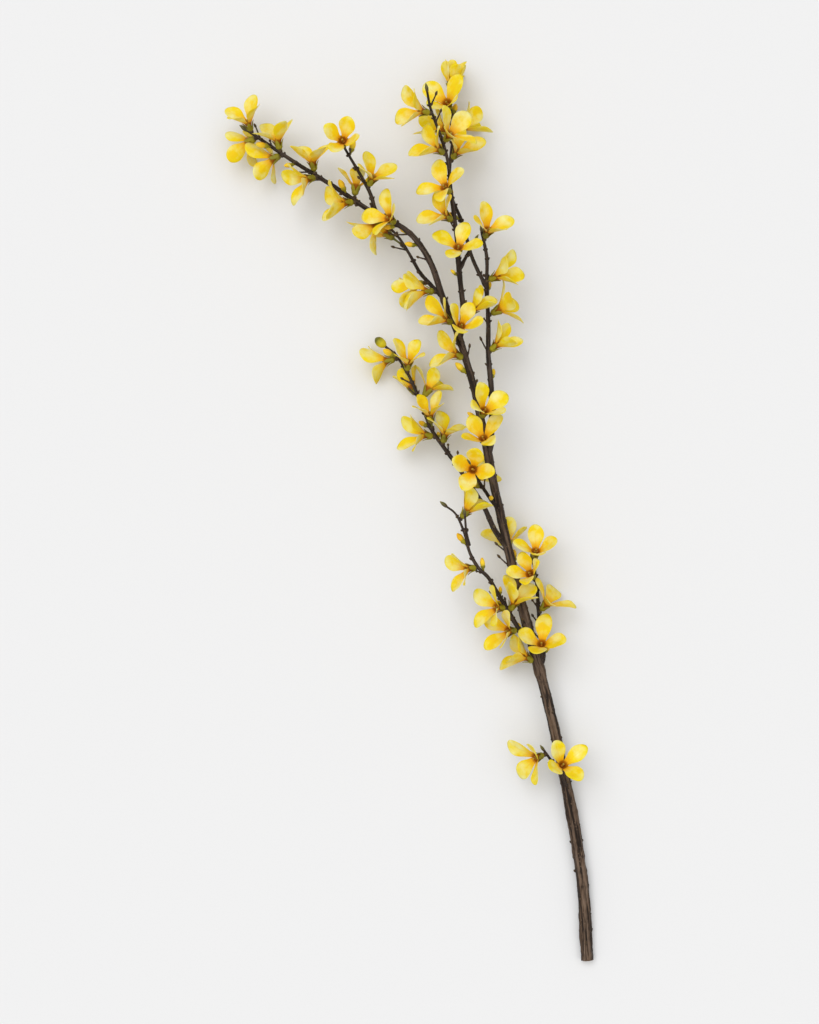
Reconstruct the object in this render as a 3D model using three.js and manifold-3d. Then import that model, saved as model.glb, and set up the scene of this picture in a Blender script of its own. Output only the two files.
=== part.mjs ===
// A cut branch of forsythia lying on a table: one grown piece of wood with forks, twigs, buds and green
// calyces, and a yellow corolla of four petals in front of each calyx.
// Millimetres. The table is Z = 0, +Y runs towards the tip, and X = Y = 0 is the middle of the branch.
import * as THREE from 'three';
import { mergeVertices } from 'three/addons/utils/BufferGeometryUtils.js';
import Module from 'manifold-3d';

const wasm = await Module();
wasm.setup();

// Corolla
const PETAL_LENGTH = 15;
const PETAL_WIDTH = 11;
const PETAL_THICKNESS = 0.7;
const PETAL_CUP = 0.04; // rise of the petal's edge per millimetre of half width squared
const PETAL_ROOM = 0.86; // most that half a petal's width takes of its distance from the flower's axis
const TUBE_LENGTH = 2.6;
const TUBE_FOOT_RADIUS = 1.3;
const TUBE_MOUTH_RADIUS = 2.7;
const TUBE_WALL = 0.8;
const THROAT_DEPTH = 1.4;
const PETALS = 4;

// Stalk and calyx under each corolla
const STALK_LENGTH = 1.8;
const STALK_RADIUS = 0.75;
const CALYX_LENGTH = 2.8;
const CALYX_RADIUS = 2;
const SEAT_GAP = 0.3;

// Wood
const RING_SPACING = 9;
const NODE_EVERY = 3; // rings from one swollen leaf joint to the next
const NODE_SWELLING = 1.18;
const TIP_BUD_LENGTH = 6;
const TIP_BUD_RADIUS = 1.5;
const TIP_BUD_ROOT = 1;
const JOINT_BUD_HEIGHT = 1.1; // above the skin of the stem

// Placing
const LEAST_GAP = 0.35; // clear space kept between a corolla and what it doesn't grow from
const DEEPEST_PRESS = 3.5; // how far below the table a petal may point before it is pressed flat
const FLOWER_LEAN = 55; // degrees between a flower and the tip's direction
const FLOWER_OPENING = 50; // degrees between a petal and the flower's own axis
const PETAL_TURN = 45; // degrees between a petal and the flower's upper side, so that none is seen edge-on
const TURN_STEP = 14; // degrees round the twig from one try to the next
const TRIES_PER_ROUND = 9;
const ROUNDS = 10;
const MIDDLE = new THREE.Vector3(1.8, -1.5, 0); // middle of the branch's box in the frame of the routes below

// Side a flower leaves its twig on, seen from above and looking towards the tip, as an angle round the twig.
const LEFT_LOW = -32;
const LEFT = 26;
const LEFT_UP = 54;
const UP = 90;
const RIGHT_UP = 126;
const RIGHT = 154;
const RIGHT_LOW = 212;

// Every stem: the points that its centre runs through, its radius at the foot and the tip, and its flowers as
// the distance along the stem and the side. A bud is how many times wider its tip bud is than a plain one.
const stems = [
  {
    name: 'main', foot: 3.6, tip: 0.9, taper: 1.3, sides: 7,
    route: [[108, -269, 2.8], [105, -224, 4.3], [97, -173, 7], [83, -111, 12], [66, -48, 18], [53, 8, 24],
      [41, 65, 29], [31, 100, 32], [22, 122, 34], [13, 146, 35], [0, 163, 35], [-20, 174, 32], [-42, 189, 28],
      [-68, 206, 23], [-94, 224, 18]],
    flowers: [[181, LEFT], [248, LEFT_LOW], [313, LEFT], [330, RIGHT_UP], [366, LEFT], [382, RIGHT],
      [388, LEFT_UP], [457, RIGHT], [465, LEFT_UP], [484, LEFT], [486, RIGHT_UP], [512, LEFT], [514, RIGHT],
      [537, LEFT_LOW], [539, RIGHT], [556, LEFT_LOW], [560, RIGHT_UP]],
  },
  {
    name: 'middle', foot: 1.7, tip: 0.7, taper: 1, sides: 6,
    route: [[31, 100, 32], [33, 116, 35], [31, 137, 38], [29, 160, 41], [26, 183, 44], [24, 202, 46],
      [19, 218, 48], [14, 232, 49], [12, 242, 50]],
    flowers: [[8, RIGHT], [48, RIGHT_UP], [68, LEFT], [84, LEFT], [107, LEFT], [114, UP], [132, LEFT]],
  },
  {
    name: 'right', foot: 1.9, tip: 0.9, taper: 1, sides: 6,
    route: [[48, 32, 26], [50, 48, 28], [50, 69, 29], [48, 90, 30], [48, 110, 30], [47, 130, 31],
      [47, 147, 33], [44, 162, 36]],
    flowers: [[60, RIGHT], [82, RIGHT_UP], [102, RIGHT], [126, RIGHT_UP]],
  },
  {
    name: 'right_fork', foot: 1.2, tip: 0.7, taper: 1, sides: 5,
    route: [[47, 130, 31], [42, 140, 28], [38, 150, 25], [33, 169, 20], [26, 188, 16], [26, 207, 14],
      [28, 226, 13], [25, 242, 13]],
    flowers: [[82, RIGHT_UP], [97, LEFT_LOW], [99, RIGHT], [113, LEFT], [115, UP], [117, RIGHT_LOW]],
  },
  {
    name: 'arch_upper', foot: 1.2, tip: 0.7, taper: 1, sides: 5,
    route: [[-18, 173, 32], [-21, 184, 36], [-27, 195, 41], [-32, 203, 45], [-38, 213, 48]],
    flowers: [[16, RIGHT], [44, UP]],
  },
  {
    name: 'arch_lower', foot: 1.3, tip: 0.7, taper: 1, sides: 5,
    route: [[20, 125, 34], [14, 132, 30], [8, 139, 26], [2, 150, 22], [-5, 161, 20], [-12, 168, 19]],
    flowers: [[3, LEFT], [12, LEFT], [39, LEFT]],
  },
  {
    name: 'middle_twig', foot: 1.1, tip: 0.7, taper: 1, sides: 5,
    route: [[31, 140, 38], [36, 149, 42], [40, 156, 47]],
    flowers: [],
  },
  {
    name: 'left_twig', foot: 1.6, tip: 0.7, taper: 1, sides: 6, bud: 1.7,
    route: [[58, -21, 21], [52, -12, 21], [45, 3, 20], [37, 15, 18], [30, 26, 17], [22, 37, 15], [14, 49, 14],
      [8, 65, 14], [1, 80, 14], [-6, 91, 14], [-13, 97, 14]],
    flowers: [[38, RIGHT], [70, RIGHT], [76, LEFT], [80, RIGHT_UP], [97, LEFT_LOW], [99, RIGHT],
      [118, RIGHT_UP], [128, LEFT_LOW]],
  },
  {
    name: 'left_second', foot: 1.2, tip: 0.7, taper: 1, sides: 5,
    route: [[54, 0, 24], [48, 8, 30], [42, 17, 36], [37, 26, 41]],
    flowers: [[30, UP]],
  },
  {
    name: 'low_twig', foot: 1.5, tip: 0.6, taper: 1, sides: 6,
    route: [[74, -79, 16], [68, -73, 19], [60, -60, 24], [54, -50, 28], [48, -40, 31], [42, -34, 32],
      [37, -25, 33], [34, -14, 34], [29, -3, 35], [23, 2, 36]],
    flowers: [[11, LEFT], [24, RIGHT], [27, LEFT], [58, LEFT], [88, RIGHT]],
  },
  {
    name: 'low_spur', foot: 0.8, tip: 0.6, taper: 1, sides: 5,
    route: [[37, -21, 33], [35, -13, 38], [34, -3, 42]],
    flowers: [],
  },
  {
    name: 'right_low', foot: 1.4, tip: 0.8, taper: 1, sides: 5,
    route: [[79, -95, 13], [81, -84, 13], [79, -69, 13], [78, -54, 13], [77, -42, 14], [75, -30, 15]],
    flowers: [[11, LEFT_UP], [34, RIGHT_LOW], [53, UP], [63, LEFT_UP]],
  },
  {
    name: 'base_twig', foot: 1.1, tip: 0.7, taper: 1, sides: 5,
    route: [[98, -173, 7], [92, -157, 13], [86, -149, 17], [81, -142, 20]],
    flowers: [[21, RIGHT_UP], [35, LEFT]],
  },
];

const bark = new THREE.MeshStandardMaterial({ color: 0x5c4a40, roughness: 0.85, metalness: 0 });
const petalYellow = new THREE.MeshStandardMaterial({ color: 0xf4cc20, roughness: 0.6, metalness: 0 });

// Seeded draws between -1 and 1.
function drawFrom(seed) {
  let state = seed;
  return () => {
    state = (state * 1664525 + 1013904223) % 4294967296;
    return (state / 4294967296) * 2 - 1;
  };
}

// A geometry's outside as a manifold-3d solid, and a solid as a flat-shaded mesh.
function solidOf(geometry) {
  const bare = geometry.clone();
  bare.deleteAttribute('normal');
  bare.deleteAttribute('uv');
  const merged = mergeVertices(bare, 1e-4);
  return new wasm.Manifold(new wasm.Mesh({
    numProp: 3,
    vertProperties: merged.attributes.position.array,
    triVerts: new Uint32Array(merged.index.array),
  }));
}

function meshOf(name, solid, material) {
  const mesh = solid.getMesh();
  const geometry = new THREE.BufferGeometry();
  geometry.setAttribute('position', new THREE.BufferAttribute(new Float32Array(mesh.vertProperties), 3));
  geometry.setIndex(new THREE.BufferAttribute(new Uint32Array(mesh.triVerts), 1));
  const flat = geometry.toNonIndexed();
  flat.computeVertexNormals();
  const made = new THREE.Mesh(flat, material);
  made.name = name;
  return made;
}

function curveOf(stem) {
  const points = stem.route.map(([x, y, z]) => new THREE.Vector3(x, y, z).sub(MIDDLE));
  return new THREE.CatmullRomCurve3(points, false, 'catmullrom', 0.5);
}

// The frame of a stem at a distance along it: the point, the way forward, the left side and the upper side.
function frameAt(curve, share) {
  const point = curve.getPointAt(share);
  const forward = curve.getTangentAt(share);
  const left = new THREE.Vector3(0, 0, 1).cross(forward).normalize();
  return { point, forward, left, above: forward.clone().cross(left) };
}

function radiusAt(stem, share) {
  return stem.foot + (stem.tip - stem.foot) * share ** stem.taper;
}

// A stem is a many-sided tube along its curve that narrows to the tip and swells at every leaf joint. Each
// joint has a small bud drawn out of its skin, on the other side from one joint to the next.
function stemSolid(stem) {
  const curve = curveOf(stem);
  const rings = Math.max(2, Math.round(curve.getLength() / RING_SPACING));
  const section = new THREE.Shape(
    Array.from({ length: stem.sides }, (_, i) => {
      const angle = (i * 2 * Math.PI) / stem.sides;
      return new THREE.Vector2(Math.cos(angle), Math.sin(angle));
    }),
  );
  const sweep = { steps: rings, extrudePath: curve, bevelEnabled: false };
  const geometry = new THREE.ExtrudeGeometry(section, sweep);
  const frames = Array.from({ length: rings + 1 }, (_, ring) => frameAt(curve, ring / rings));
  const position = geometry.attributes.position;
  const point = new THREE.Vector3();
  for (let i = 0; i < position.count; i++) {
    point.fromBufferAttribute(position, i);
    const distances = frames.map((frame) => frame.point.distanceToSquared(point));
    const ring = distances.indexOf(Math.min(...distances));
    const { point: centre, left } = frames[ring];
    point.sub(centre);
    let radius = radiusAt(stem, ring / rings);
    if (ring > 0 && ring < rings && ring % NODE_EVERY === 0) {
      const budSide = ring % (2 * NODE_EVERY) === 0 ? 1 : -1;
      const isBud = point.dot(left) * budSide > 0.8;
      radius = isBud ? radius + JOINT_BUD_HEIGHT : radius * NODE_SWELLING;
    }
    point.multiplyScalar(radius).add(centre);
    position.setXYZ(i, point.x, point.y, point.z);
  }
  return solidOf(geometry);
}

// Turns a shape made along +Z so that it starts at a point and runs along a direction.
function aimed(geometry, start, direction) {
  const turn = new THREE.Quaternion().setFromUnitVectors(new THREE.Vector3(0, 0, 1), direction);
  return geometry.applyQuaternion(turn).translate(start.x, start.y, start.z);
}

function lathed(profile, sides) {
  const points = profile.map(([radius, height]) => new THREE.Vector2(radius, height));
  return new THREE.LatheGeometry(points, sides).rotateX(Math.PI / 2);
}

// The flower stalk runs from the middle of the twig to the calyx, a small green cup with a flat top.
function stalkSolid(start, direction, length) {
  const top = length + CALYX_LENGTH;
  const widest = length + CALYX_LENGTH * 0.55;
  const profile = [[0, 0], [STALK_RADIUS, 0], [STALK_RADIUS, length], [CALYX_RADIUS, widest],
    [TUBE_FOOT_RADIUS, top], [0, top]];
  return solidOf(aimed(lathed(profile, 5), start, direction));
}

// The bud at a tip is widest some way up and ends in a point.
function tipBudSolid(curve, swelling) {
  const { point, forward } = frameAt(curve, 1);
  const root = point.addScaledVector(forward, -TIP_BUD_ROOT);
  const length = TIP_BUD_LENGTH + TIP_BUD_ROOT;
  const radius = TIP_BUD_RADIUS * swelling;
  const profile = [[0, 0], [TIP_BUD_RADIUS * 0.4, 0], [radius, length * 0.4], [radius * 0.7, length * 0.75],
    [0, length]];
  return solidOf(aimed(lathed(profile, 5), root, forward));
}

// Corolla in its own frame: the foot of the tube at the origin and the mouth towards +Z. Every petal is a row
// of cross lines that leaves the mouth, turns outwards and is cupped across; front and back are split alike.
function corollaPoints(opening, size, draw) {
  const points = [];
  const add = (x, y, z) => points.push(new THREE.Vector3(x, y, z)) - 1;
  const ring = (radius, height) => Array.from({ length: 2 * PETALS }, (_, j) => {
    const angle = ((j - 1) * Math.PI) / PETALS;
    return add(radius * Math.cos(angle), radius * Math.sin(angle), height);
  });
  const foot = add(0, 0, 0);
  const footRing = ring(TUBE_FOOT_RADIUS, 0);
  const backRing = ring(TUBE_MOUTH_RADIUS, TUBE_LENGTH);
  const frontRing = ring(TUBE_MOUTH_RADIUS - TUBE_WALL, TUBE_LENGTH);
  const throat = add(0, 0, TUBE_LENGTH - THROAT_DEPTH);

  const petals = Array.from({ length: PETALS }, (_, k) => {
    const angle = (k * 2 * Math.PI) / PETALS;
    const outward = new THREE.Vector3(Math.cos(angle), Math.sin(angle), 0);
    const across = new THREE.Vector3(-Math.sin(angle), Math.cos(angle), 0);
    const lean = THREE.MathUtils.degToRad(opening + 9 * draw());
    const length = PETAL_LENGTH * size * (1 + 0.07 * draw());
    const half = (PETAL_WIDTH / 2) * size * (1 + 0.08 * draw());
    const twist = 0.16 * draw();
    const curl = 0.3 * draw();
    const middle = outward.clone().multiplyScalar(TUBE_MOUTH_RADIUS - TUBE_WALL / 2);
    middle.z = TUBE_LENGTH;
    // Cross lines: share of the petal's length, share of its half width, places across it, and the share of
    // the full lean that the petal has on the way to this line.
    const lines = [[0.34, 0.84, [-1, 0, 1], 0.8], [0.7, 1, [-1, 0, 1], 1], [0.98, 0.44, [-1, 1], 1]];
    let reached = 0;
    return lines.map(([along, width, places, share]) => {
      const turned = lean * share + curl * along;
      const forward = outward.clone().multiplyScalar(Math.sin(turned));
      forward.z = Math.cos(turned);
      const face = outward.clone().multiplyScalar(-Math.cos(turned));
      face.z = Math.sin(turned);
      middle.addScaledVector(forward, (along - reached) * length);
      reached = along;
      const halfHere = Math.min(width * half, PETAL_ROOM * Math.hypot(middle.x, middle.y));
      const side = across.clone().multiplyScalar(Math.cos(twist * along));
      side.addScaledVector(face, Math.sin(twist * along));
      return places.map((place) => {
        const offset = place * halfHere;
        const centre = middle.clone().addScaledVector(side, offset);
        centre.addScaledVector(face, PETAL_CUP * offset * offset);
        const front = centre.clone().addScaledVector(face, PETAL_THICKNESS / 2);
        const back = centre.clone().addScaledVector(face, -PETAL_THICKNESS / 2);
        return { front: add(front.x, front.y, front.z), back: add(back.x, back.y, back.z) };
      });
    });
  });
  return { points, foot, footRing, backRing, frontRing, throat, petals };
}

function corollaFaces({ foot, footRing, backRing, frontRing, throat, petals }) {
  const faces = [];
  const count = 2 * PETALS;
  for (let j = 0; j < count; j++) {
    const next = (j + 1) % count;
    faces.push([foot, footRing[next], footRing[j]]);
    faces.push([footRing[j], footRing[next], backRing[next]], [footRing[j], backRing[next], backRing[j]]);
    faces.push([throat, frontRing[j], frontRing[next]]);
  }
  petals.forEach((lines, k) => {
    const rootPlaces = [2 * k, 2 * k + 1, (2 * k + 2) % count];
    const root = rootPlaces.map((j) => ({ front: frontRing[j], back: backRing[j] }));
    const leaf = (a, b, c) => faces.push([a.front, b.front, c.front], [c.back, b.back, a.back]);
    const wall = (a, b) => faces.push([a.back, b.back, a.front], [b.back, b.front, a.front]);
    const [first, widest, tip] = lines;
    [[root, first], [first, widest]].forEach(([near, far]) => {
      leaf(near[0], far[0], far[1]);
      leaf(near[0], far[1], near[1]);
      leaf(near[1], far[1], near[2]);
      leaf(far[1], far[2], near[2]);
      wall(near[0], far[0]);
      wall(far[2], near[2]);
    });
    leaf(widest[0], tip[0], widest[1]);
    leaf(widest[1], tip[0], tip[1]);
    leaf(widest[1], tip[1], widest[2]);
    wall(widest[0], tip[0]);
    wall(tip[0], tip[1]);
    wall(tip[1], widest[2]);
  });
  return faces;
}

// How far round its own axis a flower's upper side is, once its shape has been turned to a direction.
function upperTurn(direction) {
  const back = new THREE.Quaternion().setFromUnitVectors(direction, new THREE.Vector3(0, 0, 1));
  const upper = new THREE.Vector3(0, 0, 1).applyQuaternion(back);
  return Math.atan2(upper.y, upper.x);
}

// A corolla set on its calyx. What would reach below the table lies pressed on it with its thickness kept.
function corollaSolid(start, direction, { roll, opening, size }, draw) {
  const shape = corollaPoints(opening, size, draw);
  const turn = new THREE.Quaternion().setFromUnitVectors(new THREE.Vector3(0, 0, 1), direction);
  const spin = new THREE.Quaternion().setFromAxisAngle(new THREE.Vector3(0, 0, 1), roll);
  shape.points.forEach((point) => point.applyQuaternion(spin).applyQuaternion(turn).add(start));
  const lowest = Math.min(...shape.points.map((point) => point.z));
  shape.petals.flat(2).forEach(({ front, back }) => {
    const lift = Math.max(0, -Math.min(shape.points[front].z, shape.points[back].z));
    shape.points[front].z += lift;
    shape.points[back].z += lift;
  });
  const geometry = new THREE.BufferGeometry().setFromPoints(shape.points);
  geometry.setIndex(corollaFaces(shape).flat());
  return { solid: solidOf(geometry), lowest };
}

// The branch: stems first, then the flowers one by one along each stem.
const stemSolids = stems.map((stem) => stemSolid(stem).add(tipBudSolid(curveOf(stem), stem.bud ?? 1)));
const corollas = []; // every corolla so far
const stalks = []; // every stalk with its calyx so far

function boxesMeet(a, b) {
  const first = a.boundingBox();
  const second = b.boundingBox();
  return [0, 1, 2].every((axis) =>
    first.min[axis] < second.max[axis] + LEAST_GAP && second.min[axis] < first.max[axis] + LEAST_GAP);
}

function isClear(solid, others) {
  return others.every((other) => !boxesMeet(solid, other) || solid.minGap(other, 1) > LEAST_GAP);
}

// A flower leaves its twig on its side and leans towards the tip. Where it would touch another, it is turned
// a little further round the twig, and after each round of turns it opens less.
function growFlower(stem, curve, distance, sideAngle, draw) {
  const share = Math.min(1, distance / curve.getLength());
  const { point: start, forward, left, above } = frameAt(curve, share);
  const lean = FLOWER_LEAN + 10 * draw();
  const opening = FLOWER_OPENING + 13 * draw();
  const length = STALK_LENGTH * (1 + 0.3 * draw());
  const petalTurn = THREE.MathUtils.degToRad(PETAL_TURN + 14 * draw());
  const size = 1 + 0.07 * draw();
  const seed = Math.floor((draw() + 1) * 1e6);
  const aside = 8 * draw();
  for (let attempt = 0; attempt < ROUNDS * TRIES_PER_ROUND; attempt++) {
    const round = Math.floor(attempt / TRIES_PER_ROUND);
    const step = attempt % TRIES_PER_ROUND;
    const turned = sideAngle + aside + TURN_STEP * Math.ceil(step / 2) * (step % 2 ? 1 : -1);
    const around = THREE.MathUtils.degToRad(turned);
    const tilt = THREE.MathUtils.degToRad(lean - 3 * round);
    const direction = left.clone().multiplyScalar(Math.cos(around) * Math.sin(tilt));
    direction.addScaledVector(above, Math.sin(around) * Math.sin(tilt));
    direction.addScaledVector(forward, Math.cos(tilt));
    const reach = length + 0.8 * round;
    const stalk = stalkSolid(start, direction, reach);
    const seat = start.clone().addScaledVector(direction, reach + CALYX_LENGTH + SEAT_GAP);
    const roll = upperTurn(direction) + petalTurn + 0.12 * step;
    const form = { roll, opening: opening - 3.5 * round, size: size - 0.02 * round };
    const corolla = corollaSolid(seat, direction, form, drawFrom(seed));
    const fits = corolla.lowest > -DEEPEST_PRESS
      && isClear(corolla.solid, [...corollas, ...stemSolids, ...stalks])
      && isClear(stalk, corollas);
    if (fits) {
      stalks.push(stalk);
      corollas.push(corolla.solid);
      return;
    }
  }
  throw new Error(`no clear place for the flower at ${distance} on ${stem.name}`);
}

stems.forEach((stem, index) => {
  const draw = drawFrom(101 + 37 * index);
  const curve = curveOf(stem);
  stem.flowers.forEach(([distance, side]) => growFlower(stem, curve, distance, side, draw));
});

const wood = wasm.Manifold.union([...stemSolids, ...stalks]).trimByPlane([0, 0, 1], 0);

const branch = new THREE.Group();
branch.add(meshOf('wood', wood, bark));
corollas.forEach((solid, index) => {
  branch.add(meshOf('bloom_' + String(index + 1).padStart(2, '0'), solid, petalYellow));
});

export default branch;
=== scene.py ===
import math

import bmesh
import bpy
from mathutils import Matrix, Vector, kdtree, noise
from mathutils.bvhtree import BVHTree


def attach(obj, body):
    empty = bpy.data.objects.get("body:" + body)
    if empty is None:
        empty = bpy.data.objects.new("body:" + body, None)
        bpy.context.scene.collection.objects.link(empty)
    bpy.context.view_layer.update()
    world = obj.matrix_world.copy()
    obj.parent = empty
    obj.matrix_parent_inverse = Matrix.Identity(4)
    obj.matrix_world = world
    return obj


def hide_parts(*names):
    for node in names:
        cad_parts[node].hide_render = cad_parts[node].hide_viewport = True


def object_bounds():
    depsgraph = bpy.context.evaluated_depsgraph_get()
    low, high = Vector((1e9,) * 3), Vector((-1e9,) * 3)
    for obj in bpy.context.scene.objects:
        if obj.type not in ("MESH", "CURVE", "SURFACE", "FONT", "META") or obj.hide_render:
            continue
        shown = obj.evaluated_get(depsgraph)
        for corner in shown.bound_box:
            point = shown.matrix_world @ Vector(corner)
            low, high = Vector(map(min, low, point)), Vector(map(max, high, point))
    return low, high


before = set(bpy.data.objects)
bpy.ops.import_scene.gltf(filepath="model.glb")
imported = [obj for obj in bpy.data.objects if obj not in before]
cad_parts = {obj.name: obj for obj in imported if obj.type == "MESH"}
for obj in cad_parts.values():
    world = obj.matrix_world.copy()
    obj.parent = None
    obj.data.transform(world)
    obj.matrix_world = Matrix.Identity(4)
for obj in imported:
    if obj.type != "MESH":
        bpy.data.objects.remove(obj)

cad_box = [list(corner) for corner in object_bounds()]


# ------------------------------------------------------------------------------------------------
# Stems: the arching branch and its side twigs, one grown piece of wood with grey-brown bark on the
# old part and nearly black bark on the young twigs. Each runs on a smooth line, swells at its leaf
# joints and spreads into a collar where it leaves its parent. The foot is cut straight across.
MM = 0.001
MIDDLE = Vector((1.8, -1.5, 0))  # middle of the branch in the frame of the routes
RING_STEP = 0.8  # mm between two rings of a stem's skin
JOINT_STEP = 9  # mm between two leaf joints
JOINT_SWELLING = 0.16
JOINT_WIDTH = 1.2  # mm
JOINT_STRENGTH = (0.6, 0.4)  # middle and spread of a draw: no two joints swell the same
RIDGE_SWELLING = 0.11  # of the narrow ridge round the old wood at a leaf joint
RIDGE_WIDTH = 0.8  # mm
COLLAR_SWELLING = 0.38  # of a side stem where it comes out of its parent
FORK_SWELLING = 0.16  # of the parent there
FORK_REACH = 4.5  # mm
LONGEST_COLLAR = 9  # mm
LINE_PARTS = 24  # short straight parts between two points of a route
# Ridges, bends and lumps of the skin: how many lie round the stem, their length in mm, their height.
SKIN_WAVES = [(2.1, 34, 0.16), (0.8, 9, 0.10), (2.6, 2.4, 0.07)]
CREST_OF_RIDGE = 1.2  # how much a ridge and a lump count as raised bark
CREST_OF_LUMP = 0.5
WAVE_SHIFT = 7.3  # between the skin of one stem and the next, so that no two are alike
GRAIN_SHIFT = 0.7

# The points of each stem's line in mm, its radius at the foot and the tip, and the sides of its skin.
# The twigs thin evenly; the main stem, with a taper over 1, keeps its thickness longer.
STEMS = {
    "main": {
        "foot": 3.6, "tip": 0.9, "taper": 1.3, "sides": 28,
        "route": [(108, -269, 2.8), (105, -224, 4.3), (97, -173, 7), (83, -111, 12), (66, -48, 18),
                  (53, 8, 24), (41, 65, 29), (31, 100, 32), (22, 122, 34), (13, 146, 35),
                  (0, 163, 35), (-20, 174, 32), (-42, 189, 28), (-68, 206, 23), (-94, 224, 18)],
    },
    "middle": {
        "foot": 1.7, "tip": 0.7, "sides": 14,
        "route": [(31, 100, 32), (33, 116, 35), (31, 137, 38), (29, 160, 41), (26, 183, 44),
                  (24, 202, 46), (19, 218, 48), (14, 232, 49), (12, 242, 50)],
    },
    "right": {
        "foot": 1.9, "tip": 0.9, "sides": 14,
        "route": [(48, 32, 26), (50, 48, 28), (50, 69, 29), (48, 90, 30), (48, 110, 30),
                  (47, 130, 31), (47, 147, 33), (44, 162, 36)],
    },
    "right_fork": {
        "foot": 1.2, "tip": 0.7, "sides": 12,
        "route": [(47, 130, 31), (42, 140, 28), (38, 150, 25), (33, 169, 20), (26, 188, 16),
                  (26, 207, 14), (28, 226, 13), (25, 242, 13)],
    },
    "arch_upper": {
        "foot": 1.2, "tip": 0.7, "sides": 12,
        "route": [(-18, 173, 32), (-21, 184, 36), (-27, 195, 41), (-32, 203, 45), (-38, 213, 48)],
    },
    "arch_lower": {
        "foot": 1.3, "tip": 0.7, "sides": 12,
        "route": [(20, 125, 34), (14, 132, 30), (8, 139, 26), (2, 150, 22), (-5, 161, 20),
                  (-12, 168, 19)],
    },
    "middle_twig": {
        "foot": 1.1, "tip": 0.7, "sides": 12,
        "route": [(31, 140, 38), (36, 149, 42), (40, 156, 47)],
    },
    "left_twig": {
        "foot": 1.6, "tip": 0.7, "sides": 14,
        "route": [(58, -21, 21), (52, -12, 21), (45, 3, 20), (37, 15, 18), (30, 26, 17), (22, 37, 15),
                  (14, 49, 14), (8, 65, 14), (1, 80, 14), (-6, 91, 14), (-13, 97, 14)],
    },
    "left_second": {
        "foot": 1.2, "tip": 0.7, "sides": 12,
        "route": [(54, 0, 24), (48, 8, 30), (42, 17, 36), (37, 26, 41)],
    },
    "low_twig": {
        "foot": 1.5, "tip": 0.6, "sides": 14,
        "route": [(74, -79, 16), (68, -73, 19), (60, -60, 24), (54, -50, 28), (48, -40, 31),
                  (42, -34, 32), (37, -25, 33), (34, -14, 34), (29, -3, 35), (23, 2, 36)],
    },
    "low_spur": {
        "foot": 0.8, "tip": 0.6, "sides": 12,
        "route": [(37, -21, 33), (35, -13, 38), (34, -3, 42)],
    },
    "right_low": {
        "foot": 1.4, "tip": 0.8, "sides": 12,
        "route": [(79, -95, 13), (81, -84, 13), (79, -69, 13), (78, -54, 13), (77, -42, 14),
                  (75, -30, 15)],
    },
    "base_twig": {
        "foot": 1.1, "tip": 0.7, "sides": 12,
        "route": [(98, -173, 7), (92, -157, 13), (86, -149, 17), (81, -142, 20)],
    },
}


def draws(seed):
    """Seeded draws between -1 and 1."""
    state = seed
    while True:
        state = (state * 1664525 + 1013904223) % 2**32
        yield state / 2**32 * 2 - 1


def about(source, middle, spread):
    """A seeded value round a middle."""
    return middle + spread * next(source)


def clear_selection():
    if bpy.context.object and bpy.context.object.mode != "OBJECT":
        bpy.ops.object.mode_set(mode="OBJECT")
    bpy.ops.object.select_all(action="DESELECT")


def pick(piece):
    clear_selection()
    piece.select_set(True)
    bpy.context.view_layer.objects.active = piece


def join_as(name, pieces):
    """Joins pieces into one, with its object at the origin."""
    pick(pieces[0])
    for piece in pieces:
        piece.select_set(True)
    bpy.ops.object.join()
    joined = bpy.context.object
    joined.name = joined.data.name = name
    return joined


def smooth_line(route):
    """Closely spaced points on the smooth line through a route, in metres."""
    knots = [(Vector(point) - MIDDLE) * MM for point in route]
    knots = [2 * knots[0] - knots[1], *knots, 2 * knots[-1] - knots[-2]]
    line = []
    for before, start, end, after in zip(knots, knots[1:], knots[2:], knots[3:]):
        leave = (end - before) / 2
        arrive = (after - start) / 2
        for part in range(LINE_PARTS):
            t = part / LINE_PARTS
            square = (3 * (end - start) - 2 * leave - arrive) * t**2
            cube = (2 * (start - end) + leave + arrive) * t**3
            line.append(start + leave * t + square + cube)
    return [*line, knots[-2]]


def evenly_spaced(line, step):
    """The same line with a point every step, and its length."""
    reached = [0.0]
    for start, end in zip(line, line[1:]):
        reached.append(reached[-1] + (end - start).length)
    length = reached[-1]
    count = max(2, round(length / step))
    points = []
    part = 0
    for index in range(count + 1):
        wanted = length * index / count
        while part < len(line) - 2 and reached[part + 1] < wanted:
            part += 1
        share = (wanted - reached[part]) / (reached[part + 1] - reached[part])
        points.append(line[part].lerp(line[part + 1], min(1, share)))
    return points, length


def spread_out(points):
    """A search tree of points."""
    tree = kdtree.KDTree(len(points))
    for number, point in enumerate(points):
        tree.insert(point, number)
    tree.balance()
    return tree


def way_at(points, index):
    """The forward, left and upper directions of a line at one of its points."""
    before = points[max(0, index - 1)]
    after = points[min(len(points) - 1, index + 1)]
    forward = (after - before).normalized()
    left = Vector((0, 0, 1)).cross(forward).normalized()
    return forward, left, forward.cross(left)


MAIN_FOOT = STEMS["main"]["foot"] * MM  # the thickest radius of all


def bare_radius(stem, share):
    """A stem's radius in metres without its joints and its collar."""
    return (stem["foot"] + (stem["tip"] - stem["foot"]) * share ** stem.get("taper", 1)) * MM


def swell(distance, width):
    """A soft bulge, 1 in its middle."""
    return math.exp(-(distance / width) ** 2)


def joint_distances(length):
    """Where the leaf joints of a stem are, as distances along it."""
    joints = max(2, round(length / (JOINT_STEP * MM)))
    return [length * joint / joints for joint in range(1, joints)]


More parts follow.
